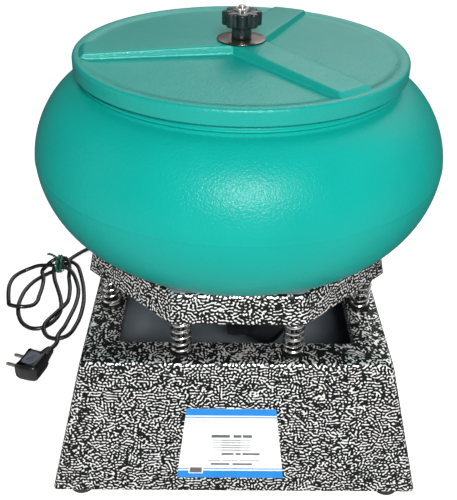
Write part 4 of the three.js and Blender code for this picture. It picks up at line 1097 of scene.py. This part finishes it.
z0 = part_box("knob")[0].z
head = z0 + STEM_HIGH
crown = head + HEAD_HIGH
knob_rings = [plain_ring(z0, INSERT + 0.0003), plain_ring(z0, STEM - 0.0006), plain_ring(z0 + 0.0006, STEM)]
knob_rings += [plain_ring(z0 + share * STEM_HIGH, STEM - 0.0002) for share in (0.3, 0.7, 0.93)]
knob_rings += [plain_ring(head - 0.0003, STEM + 0.0005), star_ring(head, 0.0062, LOBE_DEPTH * 0.25),
               star_ring(head + 0.0002, 0.0022)]
for turn in np.linspace(0, math.pi / 2, 5):
    knob_rings.append(star_ring(head + 0.0016 - 0.0014 * math.cos(turn), 0.0016 * (1 - math.sin(turn))))
knob_rings += [star_ring(head + share * HEAD_HIGH) for share in (0.3, 0.6, 0.82)]
for turn in np.linspace(0, math.pi / 2, 6):
    knob_rings.append(star_ring(crown - 0.0022 + 0.0016 * math.sin(turn), 0.0022 * (1 - math.cos(turn))))
knob_rings += [star_ring(crown - 0.0004, 0.0045, LOBE_DEPTH * 0.7), plain_ring(crown - 0.0001, 0.0115),
               plain_ring(crown, 0.0098), plain_ring(crown, INSERT + 0.0010),
               plain_ring(crown - 0.0004, INSERT + 0.0003)]
knob = skinned("star_knob", knob_rings, round_path=True, sharp=50)
phenolic = Finish("black_phenolic", (0.010, 0.017, 0.017), 0.24).patterned(
    shade=(0.012, 4, (0.3, (0.007, 0.012, 0.012)), (0.7, (0.016, 0.024, 0.024))),
    rough=(0.004, 4, 0.18, 0.36), grain=(0.0015, 3, 0.00008, 0.5))
phenolic.coats(knob)
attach(knob, "knob")
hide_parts("knob")

low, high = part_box("knob_insert")
insert_rings = []
bore_radius = ROD_RADIUS + 0.0003
insert_side = eased([(bore_radius, low.z), (INSERT, low.z), (INSERT, high.z), (bore_radius, high.z)],
                    [0, 0.0005, 0.0012, 0.0008], 4, closed=True)
for radius, height in insert_side:
    depth = KNURL_DEPTH if radius > INSERT - 0.0003 else 0
    radii = [radius - depth * (1 + math.cos(2 * math.pi * j / 4)) for j in range(4 * KNURLS)]
    insert_rings.append(level_ring(radii, height, 4 * KNURLS))
insert = skinned("knurled_insert", insert_rings, round_path=True, sharp=40)
zinc.coats(insert)
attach(insert, "knob")
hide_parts("knob_insert")

# ---------- bench and light
# A plain pale bench top that runs out of sight behind, a large soft lamp in front and above,
# weaker ones at the sides and behind, and a surround bright low in front and high behind.

bench_mesh = bpy.data.meshes.new("bench")
bench_corners = [(-12, -12, 0), (12, -12, 0), (12, 12, 0), (-12, 12, 0)]
bench_mesh.from_pydata(bench_corners, [], [(0, 1, 2, 3)])
bench = link("bench", bench_mesh)
bench_white = Finish("bench_white", (0.90, 0.90, 0.90), 0.6).patterned(
    rough=(0.2, 2, 0.55, 0.65))
bench_white.shader.inputs["Emission Color"].default_value = (1, 1, 1, 1)
bench_white.shader.inputs["Emission Strength"].default_value = 0.55
bench_white.coats(bench)
bench.visible_diffuse = False
bench.visible_glossy = False


def lamp(name, place, aim, size, power):
    light = bpy.data.lights.new(name, "AREA")
    light.shape = "RECTANGLE"
    light.size, light.size_y = size
    light.energy = power
    thing = link(name, light)
    way = Vector(aim) - Vector(place)
    thing.matrix_world = Matrix.Translation(place) @ way.to_track_quat("-Z", "Y").to_matrix().to_4x4()


lamp("front_lamp", (0.15, -2.0, 1.55), (0, 0, 0.25), (0.6, 0.45), 62)
lamp("left_lamp", (-2.2, -0.3, 1.2), (0, 0, 0.2), (1.0, 1.4), 3)
lamp("right_lamp", (2.2, -0.3, 1.2), (0, 0, 0.2), (1.0, 1.4), 1)
lamp("rear_lamp", (0, 2.6, 2.2), (0, 0.2, 0.2), (2.4, 1.2), 14)
surround = bpy.data.worlds.new("surround")
surround.use_nodes = True
nodes, links = surround.node_tree.nodes, surround.node_tree.links
way = nodes.new("ShaderNodeSeparateXYZ")
links.new(nodes.new("ShaderNodeTexCoord").outputs["Generated"], way.inputs["Vector"])


def towards(axis, start, full):
    """Runs from 0 to 1 as the direction turns from start to full along an axis."""
    fade = nodes.new("ShaderNodeMapRange")
    fade.interpolation_type = "SMOOTHSTEP"
    fade.inputs["From Min"].default_value = start
    fade.inputs["From Max"].default_value = full
    links.new(way.outputs[axis], fade.inputs["Value"])
    return fade.outputs["Result"]


def maths(operation, *values):
    node = nodes.new("ShaderNodeMath")
    node.operation = operation
    for socket, value in zip(node.inputs, values):
        if isinstance(value, float):
            socket.default_value = value
        else:
            links.new(value, socket)
    return node.outputs["Value"]


def glow(fades, strength, rest):
    """Adds the light of the part of the surround where every fade is full."""
    for fade in fades:
        strength = maths("MULTIPLY", fade, strength)
    return maths("ADD", strength, rest)


low_front = glow([towards("Y", 0.25, -0.2), towards("Z", 0.20, -0.15)], 0.68, 0.10)
high_right = glow([towards("X", -0.08, 0.14), towards("Y", 0.0, 0.5), towards("Z", 0.15, 0.40)], 1.1, low_front)
links.new(high_right, nodes["Background"].inputs["Strength"])
nodes["Background"].inputs["Color"].default_value = (1, 1, 1, 1)
bpy.context.scene.view_settings.view_transform = "Standard"
bpy.context.scene.world = surround
